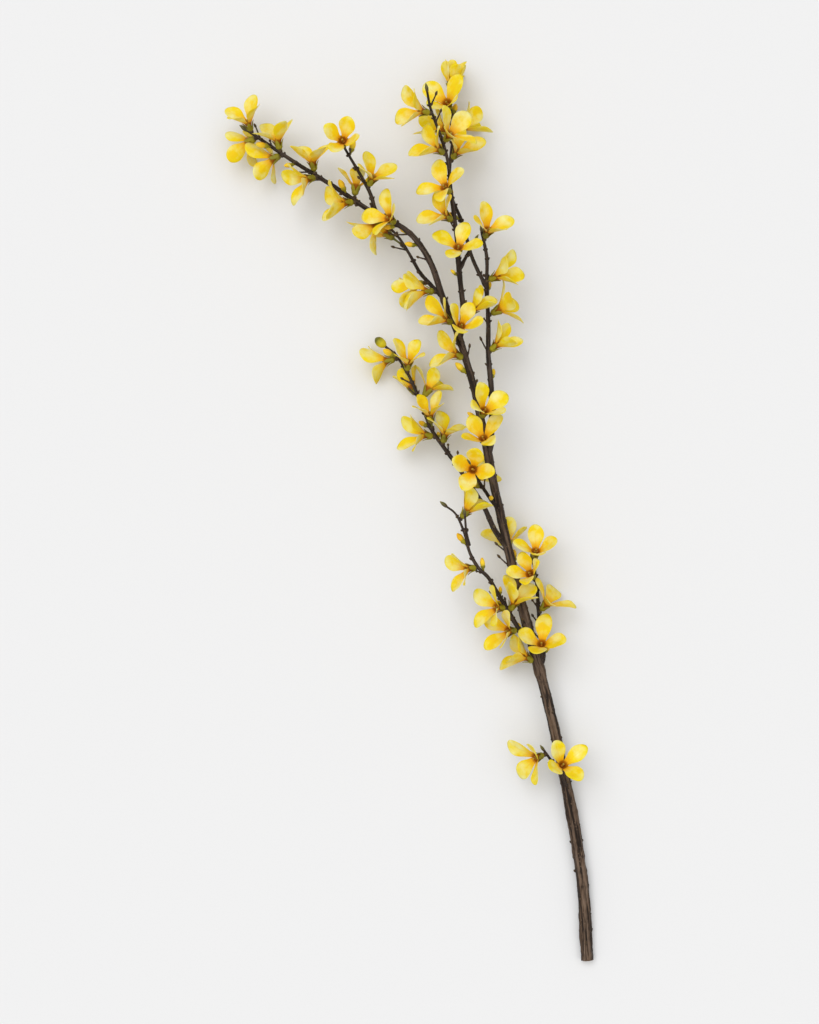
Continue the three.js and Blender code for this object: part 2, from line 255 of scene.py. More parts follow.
def forks_of(stem):
    """How far a stem's collar reaches, and how far along it each of its own side stems leaves it."""
    points = stem["points"]
    collar = 0.0
    for parent in STEMS.values():
        if parent is not stem and "points" in parent:
            nearest = min(parent["points"], key=lambda point: (point - points[0]).length)
            if (nearest - points[0]).length < RING_STEP * MM:
                index = parent["points"].index(nearest)
                angle = way_at(parent["points"], index)[0].angle(way_at(points, 2)[0])
                girth = bare_radius(parent, index / (len(parent["points"]) - 1))
                collar = min(LONGEST_COLLAR * MM, girth / math.sin(angle))
    forks = []
    for other in STEMS.values():
        root = (Vector(other["route"][0]) - MIDDLE) * MM
        nearest = min(points, key=lambda point: (point - root).length)
        if other is not stem and (nearest - root).length < RING_STEP * MM:
            forks.append(points.index(nearest) / (len(points) - 1) * stem["length"])
    return collar, forks


def swellings_of(stem, seed):
    """How much a stem swells at each point of its line, and how near to a leaf joint it is there."""
    collar, forks = forks_of(stem)
    joints = joint_distances(stem["length"])
    joint_draw = draws(71 + 13 * seed)
    strengths = [about(joint_draw, *JOINT_STRENGTH) for _ in joints]
    swellings = []
    for index in range(len(stem["points"])):
        share = index / (len(stem["points"]) - 1)
        distance = share * stem["length"]
        near, ridge = (
            max(strength**power * swell(distance - joint, width * MM)
                for joint, strength in zip(joints, strengths))
            for power, width in ((1, JOINT_WIDTH), (3, RIDGE_WIDTH)))
        fork = sum(swell(distance - place, FORK_REACH * MM) for place in forks)
        swelling = FORK_SWELLING * min(1, fork)
        if collar:
            swelling += COLLAR_SWELLING * swell(distance - collar, 0.5 * collar + MM)
        slimness = 1 - bare_radius(stem, share) / MAIN_FOOT
        swelling += JOINT_SWELLING * near * slimness**1.5
        swelling += RIDGE_SWELLING * ridge * (1 - slimness)
        swellings.append((swelling, near))
    return swellings


def grow_stem(name, stem, seed):
    """One stem as a closed tube on its line."""
    points, stem["length"] = evenly_spaced(smooth_line(stem["route"]), RING_STEP * MM)
    stem["points"] = points
    swellings = swellings_of(stem, seed)
    clear_selection()
    bpy.ops.curve.primitive_nurbs_path_add()
    line = bpy.context.object
    line.data.splines.clear()
    spline = line.data.splines.new("POLY")
    spline.points.add(len(points) - 1)
    line.data.fill_mode = "FULL"
    line.data.use_fill_caps = True
    line.data.bevel_depth = MM
    line.data.bevel_resolution = stem["sides"] // 2 - 2
    for index, (swelling, near) in enumerate(swellings):
        radius = bare_radius(stem, index / (len(points) - 1)) * (1 + swelling)
        spline.points[index].co = (*points[index], 1)
        spline.points[index].radius = radius / MM
    bpy.ops.object.convert(target="MESH")
    made = bpy.context.object
    made.name = made.data.name = name
    bpy.ops.object.mode_set(mode="EDIT")
    bpy.ops.mesh.select_all(action="SELECT")
    bpy.ops.mesh.remove_doubles(threshold=0.001 * MM)
    bpy.ops.object.mode_set(mode="OBJECT")
    ridge_skin(made.data, stem, seed, [near for swelling, near in swellings])
    return made


def ridge_skin(skin, stem, seed, nears):
    """Ridges and small lumps in a stem's skin, and the wood's own coordinates for the bark's pattern."""
    points, length = stem["points"], stem["length"]
    skin.attributes.new("grain", "FLOAT_VECTOR", "POINT")
    for own in ("girth", "joint", "crest", "upper"):
        skin.attributes.new(own, "FLOAT", "POINT")
    ring_tree = spread_out(points)
    shift = Vector((0, 0, WAVE_SHIFT * seed))
    heights = Vector([height for turns, reach, height in SKIN_WAVES])
    for vert in skin.vertices:
        centre, ring, _ = ring_tree.find(vert.co)
        forward, left, above = way_at(points, ring)
        outward = vert.co - centre
        distance = ring / (len(points) - 1) * length
        angle = math.atan2(outward.dot(above), outward.dot(left))
        around = Vector((math.cos(angle), math.sin(angle), 0))
        waves = Vector([
            noise.noise(around * turns + Vector((0, 0, distance / (reach * MM))) + shift)
            for turns, reach, height in SKIN_WAVES])
        vert.co = centre + outward * (1 + heights.dot(waves))
        vert.co.z = max(0, vert.co.z)
        grain = around * outward.length + Vector((0, 0, distance + GRAIN_SHIFT * seed))
        skin.attributes["grain"].data[vert.index].vector = grain
        # upper tells how far the skin faces up; the bark's painted highlight and painted shade are drawn
        # from it.
        marks = {
            "girth": bare_radius(stem, distance / length) / MAIN_FOOT, "joint": nears[ring],
            "crest": 0.5 + CREST_OF_RIDGE * waves[0] + CREST_OF_LUMP * waves[2],
            "upper": 0.5 + 0.5 * math.sin(angle)}
        for own, value in marks.items():
            skin.attributes[own].data[vert.index].value = value


grown = [grow_stem(name, stem, seed) for seed, (name, stem) in enumerate(STEMS.items())]

# The cut foot: a rim of bark, weathered wood, and the hollow pith in its middle.
WOOD_EDGE = 0.90  # shares of the stem's radius
PITH_EDGE = 0.28
PITH_DEPTH = 4 * MM
CUT_BAND = 0.3 * MM  # the cut's faces lie this close to its plane
foot_piece = grown[0]
foot_point = STEMS["main"]["points"][0]
foot_way = way_at(STEMS["main"]["points"], 0)[0]
pick(foot_piece)
bpy.ops.object.mode_set(mode="EDIT")
bpy.ops.mesh.select_mode(type="FACE")
bpy.ops.mesh.select_all(action="DESELECT")
foot_mesh = bmesh.from_edit_mesh(foot_piece.data)
for face in foot_mesh.faces:
    face.select = all((vert.co - foot_point).dot(foot_way) < CUT_BAND for vert in face.verts)
bmesh.update_edit_mesh(foot_piece.data)
bpy.ops.mesh.dissolve_faces()
for factor in (WOOD_EDGE, PITH_EDGE / WOOD_EDGE):
    bpy.ops.mesh.extrude_region_move(TRANSFORM_OT_translate={"value": (0, 0, 0)})
    bpy.ops.transform.resize(value=(factor,) * 3, center_override=foot_point)
bpy.ops.mesh.extrude_region_move(TRANSFORM_OT_translate={"value": foot_way * PITH_DEPTH})
bpy.ops.object.mode_set(mode="OBJECT")


def fed(tree, node, inputs):
    """Sets a node's inputs, each to a value or from the output that feeds it; gives its outputs."""
    for key, value in inputs.items():
        if isinstance(value, bpy.types.NodeSocket):
            tree.links.new(value, node.inputs[key])
        else:
            node.inputs[key].default_value = value
    return node.outputs


def add_node(tree, kind, inputs=None, output=0, **settings):
    """Adds a node and gives back one of its outputs."""
    node = tree.nodes.new(kind)
    for key, value in settings.items():
        setattr(node, key, value)
    return fed(tree, node, inputs or {})[output]


def mixed(tree, mask, first, second):
    """A colour between two colours, by a mask."""
    ends = [tint if isinstance(tint, bpy.types.NodeSocket) else (*tint, 1) for tint in (first, second)]
    return add_node(tree, "ShaderNodeMix", {0: mask, 6: ends[0], 7: ends[1]}, 2, data_type="RGBA")


def ranged(tree, value, low, high, start=0.0, end=1.0):
    """A value spread from one range to another, and held at its ends."""
    inputs = {"Value": value, "From Min": low, "From Max": high, "To Min": start, "To Max": end}
    return add_node(tree, "ShaderNodeMapRange", inputs)


def summed(tree, first, second, way="ADD"):
    return add_node(tree, "ShaderNodeMath", {0: first, 1: second}, operation=way)


def times(tree, first, second):
    return summed(tree, first, second, "MULTIPLY")


def stretched(tree, place, factors):
    """Places with each direction stretched by its own factor."""
    return add_node(tree, "ShaderNodeVectorMath", {0: place, 1: factors}, operation="MULTIPLY")


def noise_at(tree, place, scale, detail, **own):
    inputs = {"Vector": place, "Scale": scale, "Detail": detail, **own}
    return add_node(tree, "ShaderNodeTexNoise", inputs)


def relief(tree, height, strength, depth):
    """The normals of an uneven surface."""
    return add_node(tree, "ShaderNodeBump", {"Height": height, "Strength": strength, "Distance": depth})


def own_value(tree, name, output="Fac"):
    """A piece's own attribute."""
    return add_node(tree, "ShaderNodeAttribute", output=output, attribute_name=name)


def own_place(tree):
    """Where a point is on the branch."""
    return add_node(tree, "ShaderNodeTexCoord", output="Object")


def new_material(name):
    material = bpy.data.materials.new(name)
    material.use_nodes = True
    tree = material.node_tree
    return material, tree, tree.nodes["Principled BSDF"]


def place_group(tree, group, **inputs):
    """A group placed in a material with its own values; gives back its outputs."""
    node = tree.nodes.new("ShaderNodeGroup")
    node.node_tree = group
    return fed(tree, node, inputs)


# Plant fibre: long fine streaks in one direction with slower patches over them.
fibre = bpy.data.node_groups.new("Plant fibre", "ShaderNodeTree")
for name, kind in (("Place", "Vector"), ("Streaks", "Vector"), ("Patches", "Float")):
    fibre.interface.new_socket(name, in_out="INPUT", socket_type="NodeSocket" + kind)
for name in ("Streak", "Patch"):
    fibre.interface.new_socket(name, in_out="OUTPUT", socket_type="NodeSocketFloat")
entry = fibre.nodes.new("NodeGroupInput").outputs
streaks = noise_at(fibre, stretched(fibre, entry["Place"], entry["Streaks"]), 1, 4, Roughness=0.6)
patches = noise_at(fibre, entry["Place"], entry["Patches"], 3, Roughness=0.55)
fed(fibre, fibre.nodes.new("NodeGroupOutput"), {
    "Streak": ranged(fibre, streaks, 0.32, 0.68), "Patch": ranged(fibre, patches, 0.35, 0.65)})

# The bark: nearly black and smooth on young wood, grey-brown and furrowed on old wood.
bark, tree, shader = new_material("bark")
grain = own_value(tree, "grain", "Vector")
girth, joint, upper, height = (own_value(tree, name) for name in ("girth", "joint", "upper", "crest"))
fine = place_group(tree, fibre, Place=grain, Streaks=(1500, 1500, 130), Patches=95)
broad = place_group(tree, fibre, Place=grain, Streaks=(720, 720, 48), Patches=260)
crest = ranged(tree, summed(tree, height, times(tree, broad["Streak"], 0.5)), 0.35, 1.15)
old = ranged(tree, girth, 0.4, 0.95)
young_bark = mixed(tree, fine["Patch"], (0.012, 0.007, 0.004), (0.04, 0.024, 0.015))
old_bark = mixed(tree, crest, (0.024, 0.013, 0.007), (0.126, 0.077, 0.046))
old_bark = mixed(tree, times(tree, fine["Patch"], 0.45), old_bark, (0.11, 0.058, 0.031))
colour = mixed(tree, old, young_bark, old_bark)
# Dark furrows and pale threads of old skin run with the grain.
furrow = ranged(tree, broad["Streak"], 0.5, 0.16)
furrow = times(tree, furrow, ranged(tree, girth, 0.2, 0.8, 0.35, 0.95))
colour = mixed(tree, furrow, colour, (0.011, 0.006, 0.003))
thread = times(tree, ranged(tree, fine["Streak"], 0.5, 1), ranged(tree, broad["Streak"], 0.45, 0.9))
thread = times(tree, thread, ranged(tree, girth, 0.2, 0.9, 0.25, 0.85))
colour = mixed(tree, thread, colour, (0.32, 0.245, 0.19))
lenticels = add_node(
    tree, "ShaderNodeTexVoronoi", {"Vector": stretched(tree, grain, (620, 620, 330)), "Scale": 1})
lenticel = ranged(tree, lenticels, 0.2, 0.12)
colour = mixed(tree, times(tree, lenticel, 0.5), colour, (0.27, 0.18, 0.12))
joint_shade = times(tree, joint, times(tree, broad["Patch"], 0.6))
colour = mixed(tree, joint_shade, colour, (0.018, 0.01, 0.007))
# Painted highlight and painted shade: the top of every stem is painted paler in streaks, and its sides
# and underside are painted darker.
# Painted highlight: a paler bark colour laid in streaks along the top of the stem.
painted_highlight = ranged(tree, upper, 0.8, 1, 0, 0.75)
painted_highlight = times(tree, painted_highlight, ranged(tree, broad["Streak"], 0.3, 0.8))
painted_highlight_colour = mixed(tree, old, (0.085, 0.06, 0.047), (0.225, 0.152, 0.104))
colour = mixed(tree, painted_highlight, colour, painted_highlight_colour)
# Painted shade: the sides and the underside of every stem are painted nearly black.
colour = mixed(tree, times(tree, ranged(tree, upper, 0.88, 0.5), 0.84), colour, (0.01, 0.005, 0.003))
rough = summed(tree, fine["Streak"], times(tree, broad["Streak"], 2))
rough = summed(tree, rough, times(tree, lenticel, 0.8))
fed(tree, shader, {
    "Base Color": colour, "Roughness": ranged(tree, fine["Streak"], 0, 1, 0.72, 0.5),
    "Specular IOR Level": 0.22, "Normal": relief(tree, rough, 0.85, 0.0003)})

# The cut wood: year rings round the pith, and fine pores.
cut_wood, tree, shader = new_material("cut wood")
from_foot = add_node(tree, "ShaderNodeMapping", {"Vector": own_place(tree), "Location": -foot_point})
from_pith = add_node(
    tree, "ShaderNodeVectorMath", {0: stretched(tree, from_foot, (1, 0, 1))}, "Value", operation="LENGTH")
ring_place = summed(tree, times(tree, from_pith, 9500), noise_at(tree, from_foot, 700, 3))
rings = ranged(tree, summed(tree, ring_place, 0, "SINE"), -1, 1)
pores = noise_at(tree, from_foot, 4200, 2)
colour = mixed(tree, rings, (0.27, 0.175, 0.1), (0.39, 0.275, 0.17))
colour = mixed(tree, ranged(tree, pores, 0.55, 0.72, 0, 0.6), colour, (0.13, 0.08, 0.045))
colour = mixed(tree, ranged(tree, from_pith, 0.0024, 0.0033), colour, (0.13, 0.088, 0.048))
fed(tree, shader, {
    "Base Color": colour, "Roughness": ranged(tree, pores, 0.3, 0.7, 0.7, 0.88),
    "Normal": relief(tree, pores, 0.5, 0.0001)})

pith, tree, shader = new_material("pith")
crumb = noise_at(tree, own_place(tree), 2600, 4)
colour = mixed(tree, ranged(tree, crumb, 0.35, 0.65), (0.09, 0.055, 0.03), (0.23, 0.155, 0.09))
fed(tree, shader, {"Base Color": colour, "Roughness": ranged(tree, crumb, 0.3, 0.7, 0.8, 0.95)})

# On the cut, the narrow outer ring is bark, the broad one wood, and the hole's faces are pith.
BARK_RING = 0.6  # a ring whose inner edge is this far out beside its outer edge is the narrow one
for material in (bark, cut_wood, pith):
    foot_piece.data.materials.append(material)
for face in foot_piece.data.polygons:
    corners = [foot_piece.data.vertices[index].co - foot_point for index in face.vertices]
    reaches = [corner.dot(foot_way) for corner in corners]
    from_axis = [(corner - foot_way * reach).length for corner, reach in zip(corners, reaches)]
    if max(from_axis) < 2 * PITH_EDGE * MAIN_FOOT:
        face.material_index = 2
    elif max(reaches) < CUT_BAND and min(from_axis) < BARK_RING * max(from_axis):
        face.material_index = 1
for piece in grown[1:]:
    piece.data.materials.append(bark)
stems = join_as("stems", grown)
bpy.ops.object.shade_smooth_by_angle(angle=math.radians(50))
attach(stems, "root")
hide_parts("wood")


# ------------------------------------------------------------------------------------------------
# Leaf buds: small dark pointed buds in pairs at every leaf joint, each leaning to the tip. Low on the
# main stem they are worn to stubs. They are the wood's own, so they sit rooted in its skin.
BUD_PROFILE = [(0.65, 0), (0.92, 0.5), (0.84, 1.1), (0.5, 1.65), (0, 1.95)]  # radius and height, mm
BUD_LEAN = (math.radians(42), 0.2)  # middle and spread of a draw, as in the next three
BUD_WIDTH = (0.84, 0.24)  # beside the model
BUD_HEIGHT = (0.95, 0.3)
JOINT_SHIFT = (0, 2.2 * MM)  # of a pair from its joint
PAIR_SPREAD = 0.25  # how far one bud of a pair may stand from opposite the other, in radians
LEVEL_EVERY = 3  # every third pair lies level, exactly at its joint, and its second bud is small
LEVEL_SECOND = (0.8, 0.75)  # its width and height
STUB_SHARE = 0.42  # of the main stem, from its foot, where the buds are worn
STUB = (0.9, 0.75)  # how much of the width and the height is left
BUD_ROOT = 0.7  # share of the stem's radius at which a bud starts
STUB_ROOT = 0.85
PETAL_ROOM = 0.9 * MM  # kept clear of the corollas' nodes round a bud's foot and point


def drawn_up(name, profile, sides):
    """A small round shape drawn up from a disc, through each radius and height, to its point or top."""
    clear_selection()
    radius, foot = profile[0]
    reached = foot
    bpy.ops.mesh.primitive_circle_add(vertices=sides, radius=radius * MM, fill_type="NGON")
    shape = bpy.context.object
    shape.name = name
    bpy.ops.object.mode_set(mode="EDIT")
    bpy.ops.mesh.select_all(action="SELECT")
    for wanted, height in profile[1:]:
        rise = (0, 0, (height - reached) * MM)
        bpy.ops.mesh.extrude_region_move(TRANSFORM_OT_translate={"value": rise})
        reached = height
        if wanted == 0:
            bpy.ops.mesh.merge(type="CENTER")
        else:
            factor = wanted / radius
            bpy.ops.transform.resize(value=(factor, factor, 1), center_override=(0, 0, 0))
            radius = wanted
    bpy.ops.mesh.select_all(action="SELECT")
    bpy.ops.mesh.normals_make_consistent(inside=False)
    bpy.ops.object.mode_set(mode="OBJECT")
    bpy.ops.object.shade_smooth()
    along = shape.data.attributes.new("along", "FLOAT", "POINT")
    for vert in shape.data.vertices:
        along.data[vert.index].value = vert.co.z / ((reached - foot) * MM)
    shape.data.transform(Matrix.Translation((0, 0, foot * MM)))
    return shape


def copied(model):
    """A copy of a model with a mesh of its own."""
    copy = model.copy()
    copy.data = model.data.copy()
    bpy.context.scene.collection.objects.link(copy)
    return copy


def set_down(model, start, direction, size=(1, 1, 1), roll=0.0):
    """A copy of a model, scaled and turned to a direction, with its place in its own mesh."""
    copy = copied(model)
    turn = direction.to_track_quat("Z", "Y").to_matrix().to_4x4()
    scale = Matrix.Diagonal((*size, 1))
    copy.data.transform(Matrix.Translation(start) @ turn @ Matrix.Rotation(roll, 4, "Z") @ scale)
    return copy


def dropped(*models):
    """Takes models away once their copies are set down."""
    for model in models:
        mesh = model.data
        bpy.data.objects.remove(model)
        bpy.data.meshes.remove(mesh)


def leaning(way, around, lean):
    """The side of a stem at an angle round it, and the direction that leans out that way."""
    forward, left, above = way
    side = left * math.cos(around) + above * math.sin(around)
    return side, side * math.sin(lean) + forward * math.cos(lean)


def skin_tree(names):
    """A search tree of the faces of CAD nodes, and the node of each face."""
    corners, faces, owners = [], [], []
    for name in names:
        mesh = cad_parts[name].data
        faces += [[len(corners) + corner for corner in face.vertices] for face in mesh.polygons]
        corners += [vert.co for vert in mesh.vertices]
        owners += [name] * len(mesh.polygons)
    return BVHTree.FromPolygons(corners, faces), owners


bloom_nodes = sorted(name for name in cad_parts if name.startswith("bloom_"))
blooms, _ = skin_tree(bloom_nodes)
leaf_bud = drawn_up("leaf_bud", BUD_PROFILE, 6)
bud_copies = []
leaf_bud_points = []
bud_draw = draws(4211)
for name, stem in STEMS.items():
    points = stem["points"]
    for number, distance in enumerate(joint_distances(stem["length"]), start=1):
        is_level = number % LEVEL_EVERY == 0
        share = distance / stem["length"]
        is_stub = name == "main" and share < STUB_SHARE
        shifted = distance if is_level else distance + about(bud_draw, *JOINT_SHIFT)
        index = round(shifted / stem["length"] * (len(points) - 1))
        turned = 0 if number % (2 * LEVEL_EVERY) == 0 else math.pi
        if not is_level:
            turned = next(bud_draw) * math.pi
        for half in (0, 1):
            around = about(bud_draw, turned + half * math.pi, PAIR_SPREAD)
            side, direction = leaning(way_at(points, index), around, about(bud_draw, *BUD_LEAN))
            wide = about(bud_draw, *BUD_WIDTH)
            tall = about(bud_draw, *BUD_HEIGHT)
            if is_level and half:
                wide, tall = LEVEL_SECOND
            if is_stub:
                wide, tall = STUB[0] * wide, STUB[1] * tall
            root = STUB_ROOT if is_stub else BUD_ROOT
            start = points[index] + side * bare_radius(stem, share) * root
            point = start + direction * BUD_PROFILE[-1][1] * tall * MM
            if min(blooms.find_nearest(end)[3] for end in (start, point)) > PETAL_ROOM:
                bud_copies.append(set_down(leaf_bud, start, direction, (wide, wide, tall)))
                leaf_bud_points.append(point)
dropped(leaf_bud)
leaf_buds = join_as("leaf_buds", bud_copies)
for vert in leaf_buds.data.vertices:
    vert.co.z = max(0, vert.co.z)


def grown_skin(name, streaks, patches):
    """A plant skin's material, with the place along the piece and its fibre as masks."""
    material, tree, shader = new_material(name)
    fine = place_group(tree, fibre, Place=own_place(tree), Streaks=(streaks,) * 3, Patches=patches)
    return material, tree, shader, own_value(tree, "along"), fine["Streak"], fine["Patch"]


bud_skin, tree, shader, along, streak, patch = grown_skin("bud scales", 2400, 210)
colour = mixed(tree, patch, (0.016, 0.010, 0.008), (0.062, 0.036, 0.022))
colour = mixed(tree, ranged(tree, along, 0.55, 1, 0, 0.7), colour, (0.115, 0.075, 0.028))
colour = mixed(tree, ranged(tree, streak, 0.6, 1, 0, 0.35), colour, (0.180, 0.120, 0.075))
fed(tree, shader, {
    "Base Color": colour, "Roughness": ranged(tree, patch, 0, 1, 0.45, 0.68),
    "Specular IOR Level": 0.25, "Normal": relief(tree, streak, 0.4, 0.0001)})
leaf_buds.data.materials.append(bud_skin)
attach(leaf_buds, "root")
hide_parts("wood")


# ------------------------------------------------------------------------------------------------
# Tip buds: every twig ends in a closed bud wrapped in scales. Most are small, brown and green; on the
# long left twig a round flower bud has swollen, shows its green skin, and turns yellow at its foot.
TIP_BUD_ROOT = 1  # mm of the bud's foot that the twig's end goes into
TIP_BUD_PROFILE = [
    (0.75, 0), (1.05, 0.7), (1.30, 1.6), (1.18, 1.75), (1.45, 2.8), (1.32, 3.0), (1.35, 3.7),
    (1.05, 4.7), (0.62, 5.8), (0.28, 6.6), (0, 7)]
TIP_BUD_KEEL = 0.10  # how far the four pairs of scales stand out
SWOLLEN_BUD_PROFILE = [
    (0.80, 0), (1.35, 0.6), (2.15, 1.5), (2.65, 2.8), (2.80, 4.2), (2.62, 5.5), (2.10, 6.7), (1.30, 7.5),
    (0.55, 7.95), (0, 8.05)]
SWOLLEN_BUD_KEEL = 0.06
SWOLLEN_BUD_TWIG = "left_twig"
TIP_SIZES = {  # width and length beside the model
    "main": (1.0, 1.0), "right_low": (1.0, 1.0), "low_twig": (0.85, 0.8), "right_fork": (0.5, 0.7),
    "middle": (0.75, 0.8), "arch_upper": (0.75, 0.8)}
PLAIN_TIP = (0.66, 0.75)


def keeled(model, height, twist=0.0):
    """Gives a round bud four soft keels, which may twist as they go up, and smooths it."""
    top = max(vert.co.z for vert in model.data.vertices)
    for vert in model.data.vertices:
        angle = math.atan2(vert.co.y, vert.co.x) + twist * vert.co.z / top
        keel = 1 + height * math.cos(4 * angle)
        vert.co.x *= keel
        vert.co.y *= keel
    pick(model)
    smooth = model.modifiers.new("smooth", "SUBSURF")
    smooth.levels = smooth.render_levels = 1
    bpy.ops.object.modifier_apply(modifier=smooth.name)
    return model


tip_model = keeled(drawn_up("tip_bud", TIP_BUD_PROFILE, 12), TIP_BUD_KEEL)
swollen_model = keeled(drawn_up("swollen", SWOLLEN_BUD_PROFILE, 20), SWOLLEN_BUD_KEEL)
tip_copies = []
for name, stem in STEMS.items():
    points = stem["points"]
    forward = way_at(points, len(points) - 1)[0]
    start = points[-1] - forward * TIP_BUD_ROOT * MM
    if name == SWOLLEN_BUD_TWIG:
        swollen_bud = set_down(swollen_model, start, forward)
    else:
        wide, tall = TIP_SIZES.get(name, PLAIN_TIP)
        tip_copies.append(set_down(tip_model, start, forward, (wide, wide, tall)))
dropped(tip_model, swollen_model)
swollen_bud.name = swollen_bud.data.name = "swollen_bud"
tip_buds = join_as("tip_buds", tip_copies)

tip_skin, tree, shader, along, streak, patch = grown_skin("tip bud", 1900, 60)
colour = mixed(tree, ranged(tree, along, 0.15, 0.7), (0.050, 0.030, 0.014), (0.110, 0.105, 0.016))
colour = mixed(tree, ranged(tree, along, 0.75, 1, 0, 0.8), colour, (0.300, 0.240, 0.030))
colour = mixed(tree, ranged(tree, streak, 0.5, 1, 0, 0.35), colour, (0.200, 0.150, 0.060))
fed(tree, shader, {
    "Base Color": colour, "Roughness": ranged(tree, patch, 0, 1, 0.42, 0.6),
    "Normal": relief(tree, streak, 0.35, 0.00012)})

swollen_skin, tree, shader, along, streak, patch = grown_skin("swollen bud", 1300, 330)
colour = mixed(tree, ranged(tree, along, 0.38, 0.82), (0.680, 0.560, 0.014), (0.175, 0.165, 0.007))
shade = times(tree, patch, ranged(tree, along, 0.4, 0.85, 0.15, 0.65))
colour = mixed(tree, shade, colour, (0.085, 0.088, 0.006))
colour = mixed(tree, ranged(tree, along, 0.08, 0, 0, 0.8), colour, (0.110, 0.075, 0.014))
colour = mixed(tree, ranged(tree, streak, 0.55, 1, 0, 0.3), colour, (0.420, 0.370, 0.020))
fed(tree, shader, {
    "Base Color": colour, "Roughness": ranged(tree, patch, 0, 1, 0.40, 0.58),
    "Specular IOR Level": 0.25, "Normal": relief(tree, streak, 0.35, 0.00015)})
for piece, skin in ((tip_buds, tip_skin), (swollen_bud, swollen_skin)):
    piece.data.materials.append(skin)
    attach(piece, "root")
    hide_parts("wood")


# ------------------------------------------------------------------------------------------------
# Places of the flowers: every corolla keeps the seat, the direction and the petals of its CAD node.
# A copy of the node is merged, and its rings and the cross rows of its four petals are read.
HALF_TURN_MOUTH = math.radians(45)  # from the middle of a petal to its corner at the mouth
MOUTH_RADIUS = 2.3 * MM  # middle of the tube's wall
MERGE_DISTANCE = 1e-6
HUB_EDGES = 8  # that meet at the throat's middle, and at the foot's
ROWS = [3, 3, 2]  # points in the three cross rows of a petal


def next_to(vert):
    return {edge.other_vert(vert) for edge in vert.link_edges}


def in_order(verts):
    """Vertices in the order of their mesh, so that every run reads a flower the same way."""
    return sorted(verts, key=lambda vert: vert.index)


def grown_together(verts):
    """Splits vertices into groups that hang together."""
    left = set(verts)
    groups = []
    while left:
        front = {in_order(left)[0]}
        group = set()
        while front:
            left -= front
            group |= front
            front = {other for vert in front for other in next_to(vert)} & left
        groups.append(group)
    return groups


def read_flower(node):
    """The foot, axis and mouth of a CAD corolla, and for each petal the middle points of its rows."""
    form = bmesh.new()
    form.from_mesh(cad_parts[node].data)
    bmesh.ops.remove_doubles(form, verts=form.verts, dist=MERGE_DISTANCE)
    form.verts.index_update()
    middle = sum((vert.co for vert in form.verts), Vector()) / len(form.verts)
    hubs = [vert for vert in form.verts if len(vert.link_edges) == HUB_EDGES]
    throat, foot = sorted(hubs, key=lambda vert: (vert.co - middle).length)
    axis = (throat.co - foot.co).normalized()
    foot_ring = next_to(foot)
    front_ring = next_to(throat)
    back_ring = {other for vert in foot_ring for other in next_to(vert)} - foot_ring - {foot}
    mouth = sum((vert.co for vert in in_order(front_ring)), Vector()) / len(front_ring)
    rings = {foot, throat} | foot_ring | front_ring | back_ring
    petals = []
    for group in grown_together(set(form.verts) - rings):
        root = next(v for v in in_order(front_ring) if len(v.link_edges) == 4 and next_to(v) & group)
        outward = (root.co - mouth).normalized()
        across = axis.cross(outward)
        rows = []
        known = front_ring | back_ring
        left = set(group)
        while left:
            row = {vert for vert in left if next_to(vert) & known}
            points = []
            for vert in in_order(row):
                twin = min(in_order(row - {vert}), key=lambda other: (other.co - vert.co).length)
                points.append((vert.co + twin.co) / 2)
            points.sort(key=lambda point: point.dot(across))
            rows.append(points[::2])
            known = row
            left -= row
        petals.append({"outward": outward, "across": across, "rows": rows})
    flower = {"node": node, "foot": foot.co.copy(), "axis": axis, "mouth": mouth}
    first = petals[0]
    order = lambda petal: math.atan2(
        petal["outward"].dot(first["across"]), petal["outward"].dot(first["outward"])) % (2 * math.pi)
    flower["petals"] = sorted(petals, key=order)
    form.free()
    return flower


flowers = [read_flower(node) for node in bloom_nodes]
for flower in flowers:
    assert [len(row) for petal in flower["petals"] for row in petal["rows"]] == ROWS * 4, flower

# Where each flower's stalk leaves its twig: the point of the wood straight behind the flower.
SEAT_DEPTH = 3.1 * MM  # from the corolla's foot back to the calyx's own foot
SHORTEST_STALK = 0.9 * MM
LONGEST_STALK = 10 * MM
STALK_TRIES = 60
line_tree = spread_out([point for stem in STEMS.values() for point in stem["points"]])
more = (LONGEST_STALK - SHORTEST_STALK) / STALK_TRIES
for flower in flowers:
    calyx_foot = flower["foot"] - flower["axis"] * SEAT_DEPTH
    lengths = [SHORTEST_STALK + more * step for step in range(STALK_TRIES + 1)]
    reach = min(lengths, key=lambda back: line_tree.find(calyx_foot - flower["axis"] * back)[2])
    flower["calyx_foot"] = calyx_foot
    flower["stalk_foot"] = calyx_foot - flower["axis"] * reach
    flower["stalk_length"] = reach


# ------------------------------------------------------------------------------------------------
# Flower stalks: a short green-brown stalk holds each flower, with a cup of small brown bud scales
# round its foot, where the flower bud opened.
STALK_PROFILE = [
    (1.15, 0), (0.95, 1.4), (0.72, 3.5), (0.60, 6), (0.62, 8.5), (0.80, 10), (0.70, 10.6)]
STALK_LENGTH = 10 * MM  # of the model; each copy is drawn out to its own length
SCALE_PROFILE = [
    (0.95, 0), (1.45, 0.5), (1.62, 1.3), (1.42, 1.45), (1.55, 2.3), (1.25, 2.9), (0.9, 3.0)]
SCALES_WIDTH = 0.92  # beside the model
SCALES_ABOVE = 0.3 * MM  # from the twig's middle to the foot of the scales
NOTCH_DEPTH = 0.28 * MM  # of the three notches between the scales' points
NOTCH_FOOT = 1 * MM  # the scales are whole below this
FULL_SCALES = 3 * MM  # a stalk this much longer than its covered foot has scales of full height
COVERED_FOOT = 0.8 * MM
LOWEST_SCALES = 0.55  # beside the model
stalk_model = drawn_up("stalk", STALK_PROFILE, 8)
scale_model = drawn_up("scales", SCALE_PROFILE, 10)
for vert in scale_model.data.vertices:
    if vert.co.z > NOTCH_FOOT:
        vert.co.z += NOTCH_DEPTH * math.cos(3 * math.atan2(vert.co.y, vert.co.x))
stalk_copies = []
scale_copies = []
stalk_draw = draws(977)
